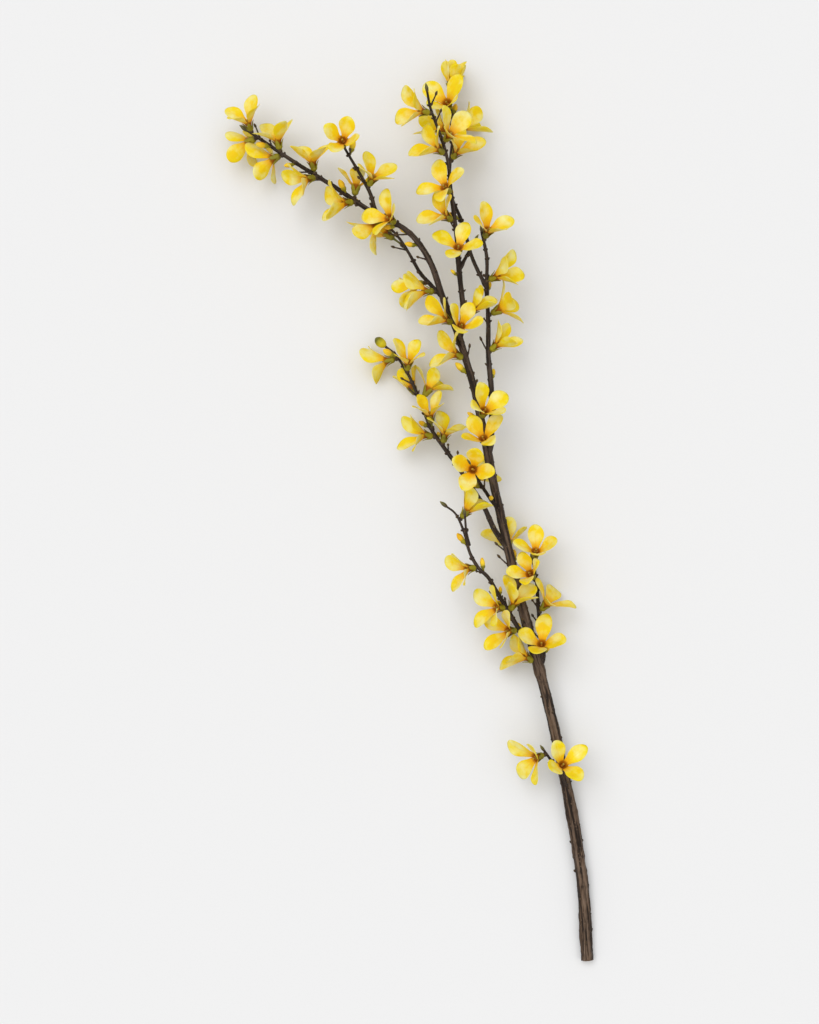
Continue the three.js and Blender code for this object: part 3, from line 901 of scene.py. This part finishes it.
for flower in flowers:
    start = flower["stalk_foot"]
    length = flower["stalk_length"] / STALK_LENGTH
    stalk_copies.append(set_down(stalk_model, start, flower["axis"], (1, 1, length)))
    tall = min(1, max(LOWEST_SCALES, (flower["stalk_length"] - COVERED_FOOT) / FULL_SCALES))
    size = (SCALES_WIDTH, SCALES_WIDTH, tall)
    foot = start + flower["axis"] * SCALES_ABOVE
    scale_copies.append(set_down(scale_model, foot, flower["axis"], size, next(stalk_draw) * math.pi))
dropped(stalk_model, scale_model)
stalks = join_as("flower_stalks", stalk_copies)
bud_scales = join_as("bud_scales", scale_copies)

stalk_skin, tree, shader, along, streak, patch = grown_skin("flower stalk", 1800, 150)
colour = mixed(tree, ranged(tree, along, 0.1, 0.7), (0.060, 0.036, 0.016), (0.150, 0.160, 0.022))
colour = mixed(tree, ranged(tree, streak, 0.4, 1, 0, 0.4), colour, (0.110, 0.070, 0.030))
fed(tree, shader, {"Base Color": colour, "Roughness": ranged(tree, patch, 0, 1, 0.45, 0.65)})
stalks.data.materials.append(stalk_skin)
bud_scales.data.materials.append(bud_skin)
for piece in (stalks, bud_scales):
    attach(piece, "root")
    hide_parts("wood")


# ------------------------------------------------------------------------------------------------
# Calyces: the small green cup under each corolla, grown onto the stalk, with four pointed lobes that
# hug the yellow tube between the petals.
CALYX_PROFILE = [
    (0.62, -0.15), (1.15, 0.2), (1.70, 0.75), (2.05, 1.4), (2.10, 1.95), (1.85, 2.55), (1.5, 2.8)]
LOBES = 4
LOBE_ROWS = 6
LOBE_WIDTH = 1.45 * MM  # half of it, at the widest
LOBE_END = 0.03 * MM  # half the width left at its point
LOBE_THICKNESS = 0.28 * MM
LOBE_FROM = 0.55  # a lobe has the skin's colours from this part of the way up
# Distance from the axis and height over the calyx's foot, on the way from a lobe's root to its point.
LOBE_RISE = [(1.75, 1.8), (2.05, 2.5), (2.28, 3.3), (2.55, 4.1), (2.85, 4.8), (3.20, 5.5), (3.62, 6.1)]
calyx_model = drawn_up("calyx", CALYX_PROFILE, 16)
lobe_parts = [calyx_model]
for lobe in range(LOBES):
    clear_selection()
    bpy.ops.mesh.primitive_grid_add(x_subdivisions=4, y_subdivisions=LOBE_ROWS, size=2)
    blade = bpy.context.object
    turned = (lobe + 0.5) * 2 * math.pi / LOBES
    along = blade.data.attributes.new("along", "FLOAT", "POINT")
    for vert in blade.data.vertices:
        across, up = vert.co.x, (vert.co.y + 1) / 2
        part = min(LOBE_ROWS - 1, int(up * LOBE_ROWS))
        share = up * LOBE_ROWS - part
        distance, height = (
            low + (high - low) * share for low, high in zip(LOBE_RISE[part], LOBE_RISE[part + 1]))
        # The sides of a lobe part a little above its root and then close to its point.
        half_width = LOBE_WIDTH * (1 - up**2.2) ** 0.8 * (0.92 + 0.3 * up) + LOBE_END
        angle = turned + across * half_width / (distance * MM)
        vert.co = Vector((math.cos(angle), math.sin(angle), 0)) * distance * MM
        vert.co.z = height * MM
        along.data[vert.index].value = LOBE_FROM + (1 - LOBE_FROM) * up
    bpy.ops.object.mode_set(mode="EDIT")
    bpy.ops.mesh.select_all(action="SELECT")
    bpy.ops.mesh.normals_make_consistent(inside=False)
    bpy.ops.object.mode_set(mode="OBJECT")
    wall = blade.modifiers.new("wall", "SOLIDIFY")
    wall.thickness = LOBE_THICKNESS
    wall.offset = 0
    bpy.ops.object.modifier_apply(modifier=wall.name)
    bpy.ops.object.shade_smooth()
    lobe_parts.append(blade)
calyx_model = join_as("calyx", lobe_parts)
calyx_copies = []
for flower in flowers:
    axis = flower["axis"]
    outward = flower["petals"][0]["outward"]
    turn = Matrix((outward, axis.cross(outward), axis)).transposed().to_4x4()
    copy = copied(calyx_model)
    copy.data.transform(Matrix.Translation(flower["calyx_foot"]) @ turn)
    calyx_copies.append(copy)
dropped(calyx_model)
calyces = join_as("calyces", calyx_copies)

calyx_green, tree, shader, along, streak, patch = grown_skin("calyx green", 1500, 110)
colour = mixed(tree, patch, (0.175, 0.155, 0.006), (0.350, 0.300, 0.010))
colour = mixed(tree, ranged(tree, along, 0.35, 0, 0, 0.7), colour, (0.095, 0.062, 0.010))
colour = mixed(tree, ranged(tree, along, 0.75, 1, 0, 0.65), colour, (0.400, 0.310, 0.014))
colour = mixed(tree, ranged(tree, streak, 0.55, 1, 0, 0.3), colour, (0.200, 0.140, 0.016))
fed(tree, shader, {
    "Base Color": colour, "Roughness": ranged(tree, patch, 0, 1, 0.46, 0.62),
    "Specular IOR Level": 0.28, "Normal": relief(tree, streak, 0.3, 0.0001)})
calyces.data.materials.append(calyx_green)
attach(calyces, "root")
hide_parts("wood")


# ------------------------------------------------------------------------------------------------
# Corollas: one soft piece each, a short tube that opens into four oval petals. A flat pattern of the
# tube and the petals is drawn once, and every copy is bent onto its own flower and given its thickness.
COLUMNS = 18  # across each petal
TUBE_ROWS = 3
PETAL_ROWS = 12
PETAL_THICKNESS = 0.34 * MM
RIM_THICKNESS = 0.40  # share of it at the petal's edge
TUBE_RINGS = [(0.0, 0.0), (1.25, 0.05), (1.62, 1.25), (2.3, 2.6)]  # radius and height, mm
ROW_KNOTS = (0.0, 0.34, 0.7, 0.98)  # shares of the petal's length that its CAD rows stand at
TIP_ROW_WIDTH = 0.44  # share of the full width that the CAD's last row has
WIDEST_AT = 0.50  # share of the petal's length
PETAL_END = 1.015
CLAW_AT = 0.18  # share of the length at which a petal is drawn in most
CLAW = 0.20  # how much of its width it loses there
SLIMNESS = 0.96  # share of the CAD petal's width that it has further out
GROOVE = 0.20 * MM  # depth of the groove down a petal's middle
GROOVE_WIDTH = 0.2  # share of the half width
RUFFLE = 0.26 * MM  # height of the margins' waves
WAVES = (1.3, 0.3)  # along a petal: the usual number, and how much it differs
ROLL = 8.75 * MM  # a tip rolls back by this times the square of the share beyond the next
ROLL_FROM = 0.72
PUCKER = 0.12 * MM
SWAY = 0.3 * MM  # to one side, half way up a petal
SIDE_RIM = 5  # powers: the higher, the narrower is the thin rim at the sides and the tip
TIP_RIM = 7
TUBE_SHARE = 0.12  # the tube's part of the way from the foot to the petals' tips
TONE = 0.5
TONE_OF_FLOWER = 0.28
TONE_OF_PETAL = 0.2
CLOSE = 1.4 * MM  # nearer than this to another flower or the wood, a petal keeps to its CAD node
LOWEST = 0.35 * MM  # of the middle of a petal that lies on the table

clear_selection()
bpy.ops.mesh.primitive_circle_add(vertices=4 * COLUMNS, radius=1, fill_type="TRIFAN")
pattern = bpy.context.object
pattern.name = "corolla_pattern"
bpy.ops.object.mode_set(mode="EDIT")
bpy.ops.mesh.select_mode(type="EDGE")
for ring in range(1, TUBE_ROWS + PETAL_ROWS):
    bpy.ops.mesh.select_all(action="DESELECT")
    bpy.ops.mesh.select_non_manifold()
    bpy.ops.mesh.extrude_region_move(TRANSFORM_OT_translate={"value": (0, 0, 0)})
    bpy.ops.transform.resize(value=((ring + 1) / ring,) * 3, center_override=(0, 0, 0))
bpy.ops.mesh.select_all(action="DESELECT")
sheet = bmesh.from_edit_mesh(pattern.data)
for edge in sheet.edges:  # the slits between the petals
    far = [vert.co.length > TUBE_ROWS - 0.5 for vert in edge.verts]
    turns = [math.degrees(math.atan2(vert.co.y, vert.co.x)) / 45 for vert in edge.verts if vert.co.length]
    on_corner = [abs(turn - round(turn)) < 0.01 and round(turn) % 2 == 1 for turn in turns]
    edge.select = all(far) and len(turns) == 2 and all(on_corner)
bmesh.update_edit_mesh(pattern.data)
bpy.ops.mesh.edge_split()
bpy.ops.object.mode_set(mode="OBJECT")

# What each point of the flat pattern is on a flower: its ring, petal, and place across the petal.
pattern_mesh = pattern.data
petal_of = {}
for face in pattern_mesh.polygons:
    angle = math.degrees(math.atan2(face.center.y, face.center.x))
    for vert in face.vertices:  # a corner that two petals share goes with the first
        petal_of[vert] = min(petal_of.get(vert, 4), round(angle / 90) % 4)
pattern_places = []
for vert in pattern_mesh.vertices:
    angle = math.degrees(math.atan2(vert.co.y, vert.co.x))
    petal = petal_of[vert.index]
    from_middle = (angle - 90 * petal + 180) % 360 - 180
    pattern_places.append((vert.co.length, petal, math.radians(from_middle), math.radians(angle)))


def row_forms(flower, petal):
    """For every knot of a petal: its middle point, its half width across and its cup, as vectors."""
    outward, across = petal["outward"], petal["across"]
    mouth = flower["mouth"]
    corner = MOUTH_RADIUS * math.cos(HALF_TURN_MOUTH)
    forms = [(mouth + outward * MOUTH_RADIUS, across * corner, outward * (corner - MOUTH_RADIUS))]
    for left, middle, right in petal["rows"][:2]:
        forms.append((middle, (right - left) / 2, (left + right) / 2 - middle))
    left, right = petal["rows"][2]
    cup = forms[2][2]
    forms.append(((left + right) / 2 - cup * TIP_ROW_WIDTH**2, (right - left) / 2 / TIP_ROW_WIDTH, cup))
    return forms


def between_rows(forms, share):
    """The middle, half width and cup of a petal at a share of its length, on a smooth curve."""
    weights = []
    for own in ROW_KNOTS:
        weight = 1.0
        for other in ROW_KNOTS:
            if other != own:
                weight *= (share - other) / (own - other)
        weights.append(weight)
    middle, half, cup = (
        sum((form[part] * weight for form, weight in zip(forms, weights)), Vector())
        for part in range(3))
    drawn_in = share / CLAW_AT * math.exp((1 - (share / CLAW_AT) ** 2) / 2)  # 1 at the claw
    width = (1 - CLAW * drawn_in) * (1 - (1 - SLIMNESS) * min(1, share / CLAW_AT))
    return middle, half * width, cup * width**2


def on_node(forms, share, across):
    """The same place on the sheet of the CAD node, which is straight between its rows."""
    row = min(2, sum(share > knot for knot in ROW_KNOTS[1:]))
    part = min(1, (share - ROW_KNOTS[row]) / (ROW_KNOTS[row + 1] - ROW_KNOTS[row]))
    middle, half, cup = (low.lerp(high, part) for low, high in zip(forms[row], forms[row + 1]))
    return middle + half * across + cup * abs(across)


nodes_tree, owners = skin_tree(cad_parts)


def room_round(point, own):
    """How far a point is from every node but its own, up to the close distance."""
    found = nodes_tree.find_nearest_range(point, CLOSE)
    return min((distance for _, _, face, distance in found if owners[face] != own), default=CLOSE)


corolla_draw = draws(5303)
corollas = []
for number, flower in enumerate(flowers, start=1):
    corolla = copied(pattern)
    corolla.name = corolla.data.name = f"corolla_{number:02d}"
    forms = [row_forms(flower, petal) for petal in flower["petals"]]
    habits = [[next(corolla_draw) for _ in range(7)] for _ in range(4)]
    flower_tone = next(corolla_draw)
    axis = flower["axis"]
    first_out = flower["petals"][0]["outward"]
    first_across = axis.cross(first_out)
    mesh = corolla.data
    for own in ("along", "across", "tone"):
        mesh.attributes.new(own, "FLOAT", "POINT")
    rims = []
    for vert, (ring, petal, from_middle, angle) in zip(mesh.vertices, pattern_places):
        habit = habits[petal]
        if ring < TUBE_ROWS - 0.01:
            radius, height = TUBE_RINGS[round(ring)]
            side = first_out * math.cos(angle) + first_across * math.sin(angle)
            vert.co = flower["foot"] + axis * height * MM + side * radius * MM
            along, across, rim = TUBE_SHARE * ring / TUBE_ROWS, 0.0, 0.0
        else:
            across = math.sin(2 * from_middle)
            reach = WIDEST_AT + (PETAL_END - WIDEST_AT) * math.cos(2 * from_middle)
            row = (ring - TUBE_ROWS) / PETAL_ROWS
            share = row * reach
            middle, half, cup = between_rows(forms[petal], share)
            step_on = between_rows(forms[petal], share + 0.02)[0] - middle
            face = step_on.cross(half).normalized()
            point = middle + half * across + cup * across**2
            # A groove down the middle, margins that wave, and a tip that rolls back a little.
            groove = GROOVE * math.exp(-(across / GROOVE_WIDTH) ** 2) * math.sin(math.pi * min(1, share))
            wave = math.sin(2 * math.pi * (share * (WAVES[0] + WAVES[1] * habit[0]) + habit[1]))
            margin = abs(across) ** 2.5 * min(1, share * 2) * (1 if across > 0 else habit[2])
            roll = ROLL * (1 + habit[3]) * max(0, share - ROLL_FROM) ** 2
            pucker = PUCKER * noise.noise(Vector((across * 2.2, share * 3.4, 5.1 * number + petal)))
            point += face * (RUFFLE * wave * margin - groove - roll + pucker)
            point += half.normalized() * SWAY * habit[4] * math.sin(math.pi * share)
            room = room_round(point, flower["node"])
            vert.co = on_node(forms[petal], share, across).lerp(point, room / CLOSE)
            vert.co.z = max(LOWEST, vert.co.z)
            along = TUBE_SHARE + (1 - TUBE_SHARE) * share
            rim = max(abs(across) ** SIDE_RIM, row**TIP_RIM)
        tone = TONE + TONE_OF_FLOWER * flower_tone + TONE_OF_PETAL * habit[5]
        for own, value in (("along", along), ("across", across), ("tone", tone)):
            mesh.attributes[own].data[vert.index].value = value
        rims.append(rim)
    inner = corolla.vertex_groups.new(name="inner")
    for index, rim in enumerate(rims):
        inner.add([index], 1 - rim, "REPLACE")
    pick(corolla)
    wall = corolla.modifiers.new("wall", "SOLIDIFY")
    wall.thickness = PETAL_THICKNESS
    wall.offset = 0
    wall.vertex_group = inner.name
    wall.thickness_vertex_group = RIM_THICKNESS
    bpy.ops.object.modifier_apply(modifier=wall.name)
    bpy.ops.object.shade_smooth()
    corollas.append(corolla)
dropped(pattern)

petal_skin, tree, shader = new_material("petal")
along, across, tone = (own_value(tree, name) for name in ("along", "across", "tone"))
petal_place = add_node(tree, "ShaderNodeCombineXYZ", {"X": across, "Y": along, "Z": tone})
# Fine veins run from the base to the tip, fanning with the petal; soft patches lie across them.
veins = place_group(tree, fibre, Place=petal_place, Streaks=(15, 1.1, 90), Patches=3.2)
mottle = noise_at(tree, own_place(tree), 150, 3)
bright = mixed(tree, tone, (0.870, 0.550, 0.004), (0.880, 0.700, 0.008))
colour = mixed(tree, ranged(tree, along, 0.35, 0.95, 0, 0.55), bright, (0.865, 0.735, 0.014))
# Painted light: thin places in the petal are painted a paler lemon, as if light shone through them, paler
# still towards one margin.
painted_shine_through = ranged(tree, summed(tree, mottle, times(tree, across, 0.10)), 0.42, 0.72)
painted_shine_through = times(tree, painted_shine_through, ranged(tree, along, 0.25, 0.6, 0.15, 0.85))
colour = mixed(tree, painted_shine_through, colour, (0.865, 0.835, 0.400))
colour = mixed(tree, ranged(tree, mottle, 0.47, 0.30, 0, 0.35), colour, (0.880, 0.470, 0.008))
colour = mixed(tree, times(tree, veins["Streak"], 0.12), colour, (0.880, 0.480, 0.004))
# The midrib and the base are golden, and the throat has a dark orange-brown eye.
midrib = ranged(tree, summed(tree, across, 0, "ABSOLUTE"), 0.10, 0)
midrib = times(tree, midrib, ranged(tree, along, 0.95, 0.2, 0, 0.4))
colour = mixed(tree, midrib, colour, (0.880, 0.440, 0.004))
base = ranged(tree, summed(tree, along, times(tree, veins["Patch"], 0.06)), 0.46, 0.14)
colour = mixed(tree, times(tree, base, 0.85), colour, (0.780, 0.290, 0.003))
eye = summed(tree, along, times(tree, veins["Streak"], 0.07), "SUBTRACT")
eye = times(tree, ranged(tree, eye, 0.17, 0.10), 0.85)
colour = mixed(tree, eye, colour, (0.270, 0.075, 0.004))
rough = summed(tree, veins["Streak"], times(tree, mottle, 0.6))
fed(tree, shader, {
    "Base Color": colour, "Roughness": ranged(tree, mottle, 0.3, 0.7, 0.42, 0.58),
    "Normal": relief(tree, rough, 0.35, 0.00012), "Specular IOR Level": 0.13, "Sheen Weight": 0.02,
    "Subsurface Weight": 0.22, "Subsurface Radius": (1.0, 0.75, 0.1), "Subsurface Scale": 0.0012})
for corolla, flower in zip(corollas, flowers):
    corolla.data.materials.append(petal_skin)
    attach(corolla, "root")
    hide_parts(flower["node"])


# ------------------------------------------------------------------------------------------------
# Closed flower buds: four rolled yellow petals in a small brown and green cup, close to the twig at
# leaf joints where no open flower stands. Each is as long as a grain of rice.
BUD_PETALS = [
    (0.55, 0.7), (1.05, 1.2), (1.55, 2.4), (1.72, 3.6), (1.50, 4.9), (1.02, 5.9), (0.50, 6.6), (0, 6.9)]
BUD_CUP = [(0.50, -1.6), (0.62, -0.9), (0.55, -0.5), (1.05, 0.1), (1.48, 0.9), (1.50, 1.6), (1.22, 2.2)]
BUD_TWIST = math.radians(55)  # of the rolled petals, from the foot to the point
BUD_FOLD = 0.13  # how far the four rolled petals stand out
BUD_ROOM = 4.2 * MM  # kept clear of petals and calyces round a closed bud
LEAF_BUD_ROOM = 2.4 * MM  # from the middle of a closed bud to a leaf bud's point
BUD_MIDDLE = 3.5 * MM  # over the foot of the petals
LOWEST_BUD = 4 * MM  # of a closed bud's middle
SKIN_ROOM = 1.15  # a closed bud stands this many times its own radius off the skin of a stem
CLOSED_BUD_ROOT = 0.9  # share of the stem's radius at which the cup's foot starts
CLOSED_BUD_DRAW = 0.4  # a draw from this up sets a closed bud
CLOSED_BUD_SIZE = (0.90, 0.26)  # middle and spread of a draw, as in the next
CLOSED_BUD_LEAN = (math.radians(38), 0.15)
OLD_SHARE = 0.3  # of the main stem, from its foot, that carries no closed buds or spurs
TRIES = 8  # places round a joint that are tried
flower_points = [
    point for flower in flowers for petal in flower["petals"] for row in petal["rows"] for point in row]
flower_points += [flower[part] for flower in flowers for part in ("foot", "mouth", "calyx_foot")]
flower_points += [
    (petal["rows"][0][1] + flower["mouth"]) / 2 for flower in flowers for petal in flower["petals"]]


def young_joints(source, least):
    """The point, way and radius of the young wood at each joint that gets a high enough draw."""
    for name, stem in STEMS.items():
        points = stem["points"]
        for distance in joint_distances(stem["length"]):
            share = distance / stem["length"]
            if next(source) >= least and (name != "main" or share >= OLD_SHARE):
                index = round(share * (len(points) - 1))
                yield points[index], way_at(points, index), bare_radius(stem, share)


flower_tree = spread_out(flower_points)
leaf_bud_tree = spread_out(leaf_bud_points)
skins = BVHTree.FromPolygons(
    [vert.co for vert in stems.data.vertices], [list(face.vertices) for face in stems.data.polygons])
closed_model = keeled(drawn_up("closed_bud", BUD_PETALS, 16), BUD_FOLD, BUD_TWIST)
cup_model = drawn_up("bud_cup", BUD_CUP, 8)
closed_draw = draws(3307)
closed_copies = []
cup_copies = []
bud_places = []
for place, way, skin in young_joints(closed_draw, CLOSED_BUD_DRAW):
    for _ in range(TRIES):
        around = next(closed_draw) * math.pi
        size = about(closed_draw, *CLOSED_BUD_SIZE)
        side, direction = leaning(way, around, about(closed_draw, *CLOSED_BUD_LEAN))
        start = place + side * skin * CLOSED_BUD_ROOT - direction * BUD_CUP[0][1] * size * MM
        middle = start + direction * BUD_MIDDLE * size
        clear = flower_tree.find(middle)[2] > BUD_ROOM and middle.z > LOWEST_BUD
        clear = clear and leaf_bud_tree.find(middle)[2] > LEAF_BUD_ROOM
        apart = all((middle - other).length > 2 * BUD_ROOM for other in bud_places)
        off_skin = all(
            skins.find_nearest(start + direction * height * size * MM)[3] > SKIN_ROOM * radius * size * MM
            for radius, height in BUD_PETALS)
        if clear and apart and off_skin:
            closed_copies.append(set_down(closed_model, start, direction, (size,) * 3, around))
            cup_copies.append(set_down(cup_model, start, direction, (size,) * 3))
            bud_places.append(middle)
            break
dropped(closed_model, cup_model)
closed_buds = join_as("closed_buds", closed_copies)
bud_cups = join_as("bud_cups", cup_copies)

closed_skin, tree, shader, along, streak, patch = grown_skin("closed bud", 1500, 170)
colour = mixed(tree, patch, (0.780, 0.430, 0.006), (0.900, 0.640, 0.030))
colour = mixed(tree, ranged(tree, along, 0.45, 0.05, 0, 0.8), colour, (0.430, 0.330, 0.010))
colour = mixed(tree, ranged(tree, streak, 0.55, 1, 0, 0.35), colour, (0.700, 0.330, 0.008))
fed(tree, shader, {
    "Base Color": colour, "Roughness": ranged(tree, patch, 0, 1, 0.45, 0.6), "Specular IOR Level": 0.25})
closed_buds.data.materials.append(closed_skin)
bud_cups.data.materials.append(calyx_green)
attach(closed_buds, "root")
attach(bud_cups, "root")
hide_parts("wood")


# ------------------------------------------------------------------------------------------------
# Spurs: thin dark side shoots as long as a finger's nail, each with a knob of bud scales at its end.
# They leave some of the leaf joints of the young wood, where no flower or bud is in their way.
SPUR_PROFILE = [
    (0.80, 0), (0.55, 0.9), (0.46, 3.0), (0.60, 3.3), (0.44, 3.7), (0.42, 6.2), (0.72, 6.7), (0.82, 7.4),
    (0.55, 8.2), (0, 8.8)]
SPUR_DRAW = 0.1  # a draw from this up gives a spur
SPUR_HEIGHT = (0.72, 0.35)  # middle and spread of a draw, as in the next
SPUR_LEAN = (math.radians(46), 0.2)
SPUR_CURVE = 18.0  # per metre, how fast a spur turns towards the tip
SPUR_ROOT = 0.6  # share of the stem's radius at which it starts
SPUR_ROOM = 3.0 * MM  # kept clear of petals, calyces, closed buds and, round its end, of stems
SPUR_PETAL_ROOM = 1.44 * MM  # kept clear of the corollas' nodes
LOWEST_SPUR = 2 * MM
SPUR_PARTS = (0.3, 0.55, 0.8, 1.0)  # the places along a spur that are tried
flower_tree = spread_out(flower_points + bud_places)
spur_model = drawn_up("spur", SPUR_PROFILE, 7)
spur_draw = draws(887)
spur_copies = []
for place, way, skin in young_joints(spur_draw, SPUR_DRAW):
    forward = way[0]
    for _ in range(TRIES):
        around = next(spur_draw) * math.pi
        tall = about(spur_draw, *SPUR_HEIGHT)
        side, direction = leaning(way, around, about(spur_draw, *SPUR_LEAN))
        foot = place + side * skin * SPUR_ROOT
        outs = [SPUR_PROFILE[-1][1] * tall * MM * part for part in SPUR_PARTS]
        reached = [foot + direction * out + forward * SPUR_CURVE * out**2 for out in outs]
        clear = all(
            flower_tree.find(point)[2] > SPUR_ROOM and blooms.find_nearest(point)[3] > SPUR_PETAL_ROOM
            and point.z > LOWEST_SPUR for point in reached)
        if clear and line_tree.find(reached[-1])[2] > SPUR_ROOM:
            spur = set_down(spur_model, foot, direction, (1, 1, tall))
            for vert in spur.data.vertices:
                vert.co += forward * SPUR_CURVE * max(0, (vert.co - foot).dot(direction)) ** 2
            spur_copies.append(spur)
            break
dropped(spur_model)
spurs = join_as("spurs", spur_copies)
spurs.data.materials.append(bud_skin)
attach(spurs, "root")
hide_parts("wood")


# ------------------------------------------------------------------------------------------------
# Stamens and styles: in each throat two short stamens with orange-brown anthers stand against a
# pale green style with a small round stigma.
ANTHER_PROFILE = [(0.16, 0), (0.42, 0.3), (0.55, 0.9), (0.46, 1.5), (0.14, 1.85), (0, 1.9)]
STYLE_PROFILE = [(0.28, 0), (0.24, 1.6), (0.22, 3.2), (0.50, 3.5), (0.54, 3.9), (0.22, 4.2), (0, 4.25)]
ANTHER_HEIGHT = 1.6 * MM  # over the corolla's foot
ANTHER_APART = 0.62 * MM  # from the flower's axis
ANTHER_LEAN = (0.12, 0.05)  # middle and spread of a draw, as in the next
STYLE_HEIGHT = (1, 0.08)  # beside the model
STYLE_FOOT = 0.6 * MM  # over the corolla's foot
anther_model = drawn_up("anther", ANTHER_PROFILE, 8)
style_model = drawn_up("style", STYLE_PROFILE, 8)
anther_copies = []
style_copies = []
throat_draw = draws(641)
for flower in flowers:
    foot, axis = flower["foot"], flower["axis"]
    size = (1, 1, about(throat_draw, *STYLE_HEIGHT))
    style_copies.append(set_down(style_model, foot + axis * STYLE_FOOT, axis, size))
    for side in (-flower["petals"][0]["across"], flower["petals"][0]["across"]):
        start = foot + axis * ANTHER_HEIGHT + side * ANTHER_APART
        direction = (axis + side * about(throat_draw, *ANTHER_LEAN)).normalized()
        anther_copies.append(set_down(anther_model, start, direction))
dropped(anther_model, style_model)
anthers = join_as("anthers", anther_copies)
styles = join_as("styles", style_copies)

anther_skin, tree, shader = new_material("anther")
dust = noise_at(tree, own_place(tree), 3800, 3)
colour = mixed(tree, ranged(tree, dust, 0.35, 0.65), (0.330, 0.105, 0.008), (0.620, 0.300, 0.020))
fed(tree, shader, {"Base Color": colour, "Roughness": ranged(tree, dust, 0.3, 0.7, 0.7, 0.92)})
anthers.data.materials.append(anther_skin)

style_skin, tree, shader = new_material("style")
dew = noise_at(tree, own_place(tree), 2200, 2)
tip = ranged(tree, own_value(tree, "along"), 0.6, 0.9)
colour = mixed(tree, tip, (0.450, 0.420, 0.035), (0.430, 0.330, 0.030))
colour = mixed(tree, ranged(tree, dew, 0.45, 0.7, 0, 0.4), colour, (0.250, 0.270, 0.030))
fed(tree, shader, {"Base Color": colour, "Roughness": ranged(tree, dew, 0.3, 0.7, 0.35, 0.55)})
styles.data.materials.append(style_skin)
for piece in (anthers, styles):
    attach(piece, "root")


# ------------------------------------------------------------------------------------------------
# Table, light and camera: the branch lies on a plain pale table under a wide soft light from the
# upper left, with an even fill from all round, and the camera looks straight down on it.
clear_selection()
bpy.ops.mesh.primitive_plane_add(size=8)
table = bpy.context.object
table.name = "table"
table_paint, tree, shader = new_material("table paint")
tooth = noise_at(tree, own_place(tree), 900, 2)
colour = mixed(tree, ranged(tree, tooth, 0.3, 0.7), (0.790, 0.790, 0.792), (0.800, 0.800, 0.800))
fed(tree, shader, {
    "Base Color": colour, "Roughness": ranged(tree, tooth, 0.3, 0.7, 0.85, 0.95),
    "Specular IOR Level": 0.1})
table.data.materials.append(table_paint)

# The key comes from the upper left through a wide screen, and a wider one hangs overhead.
SCREENS = {  # its place, how wide it looks from the table, and its strength
    "key": (Vector((-1.2, 1.4, 3.3)), math.radians(44), 0.97),
    "overhead": (Vector((0, 0, 3.5)), math.radians(100), 1.24),
}
for name, (place, width, strength) in SCREENS.items():
    screen_data = bpy.data.lights.new(name, "SUN")
    screen_data.angle = width
    screen_data.energy = strength
    screen = bpy.data.objects.new(name, screen_data)
    screen.location = place
    screen.rotation_euler = (-place).to_track_quat("-Z", "Y").to_euler()
    bpy.context.scene.collection.objects.link(screen)

# The studio gives an even fill, and its walls are as pale as the table.
FILL = 0.45
WALLS = 0.88
WHITE = (1, 1, 1, 1)
world = bpy.data.worlds.new("studio")
world.use_nodes = True
tree = world.node_tree
fill = fed(tree, tree.nodes["Background"], {"Color": WHITE, "Strength": FILL})[0]
walls = add_node(tree, "ShaderNodeBackground", {"Color": WHITE, "Strength": WALLS})
seen = add_node(tree, "ShaderNodeLightPath", output="Is Camera Ray")
studio = add_node(tree, "ShaderNodeMixShader", {0: seen, 1: fill, 2: walls})
fed(tree, tree.nodes["World Output"], {"Surface": studio})
bpy.context.scene.world = world
bpy.context.scene.view_settings.view_transform = "Standard"
bpy.context.scene.view_settings.look = "None"

LENS = 85.0
SENSOR = 36.0
VIEW_HEIGHT = 0.600  # metres of the branch's plane that the frame's long side takes in
PLANE_HEIGHT = 0.030
camera_data = bpy.data.cameras.new("camera")
camera_data.lens = LENS
camera_data.sensor_width = SENSOR
camera = bpy.data.objects.new("camera", camera_data)
low, high = (Vector(corner) for corner in cad_box)
camera.location = ((low.x + high.x) / 2, (low.y + high.y) / 2, PLANE_HEIGHT + VIEW_HEIGHT * LENS / SENSOR)
camera.rotation_euler = (0, 0, 0)
bpy.context.scene.collection.objects.link(camera)
bpy.context.scene.camera = camera
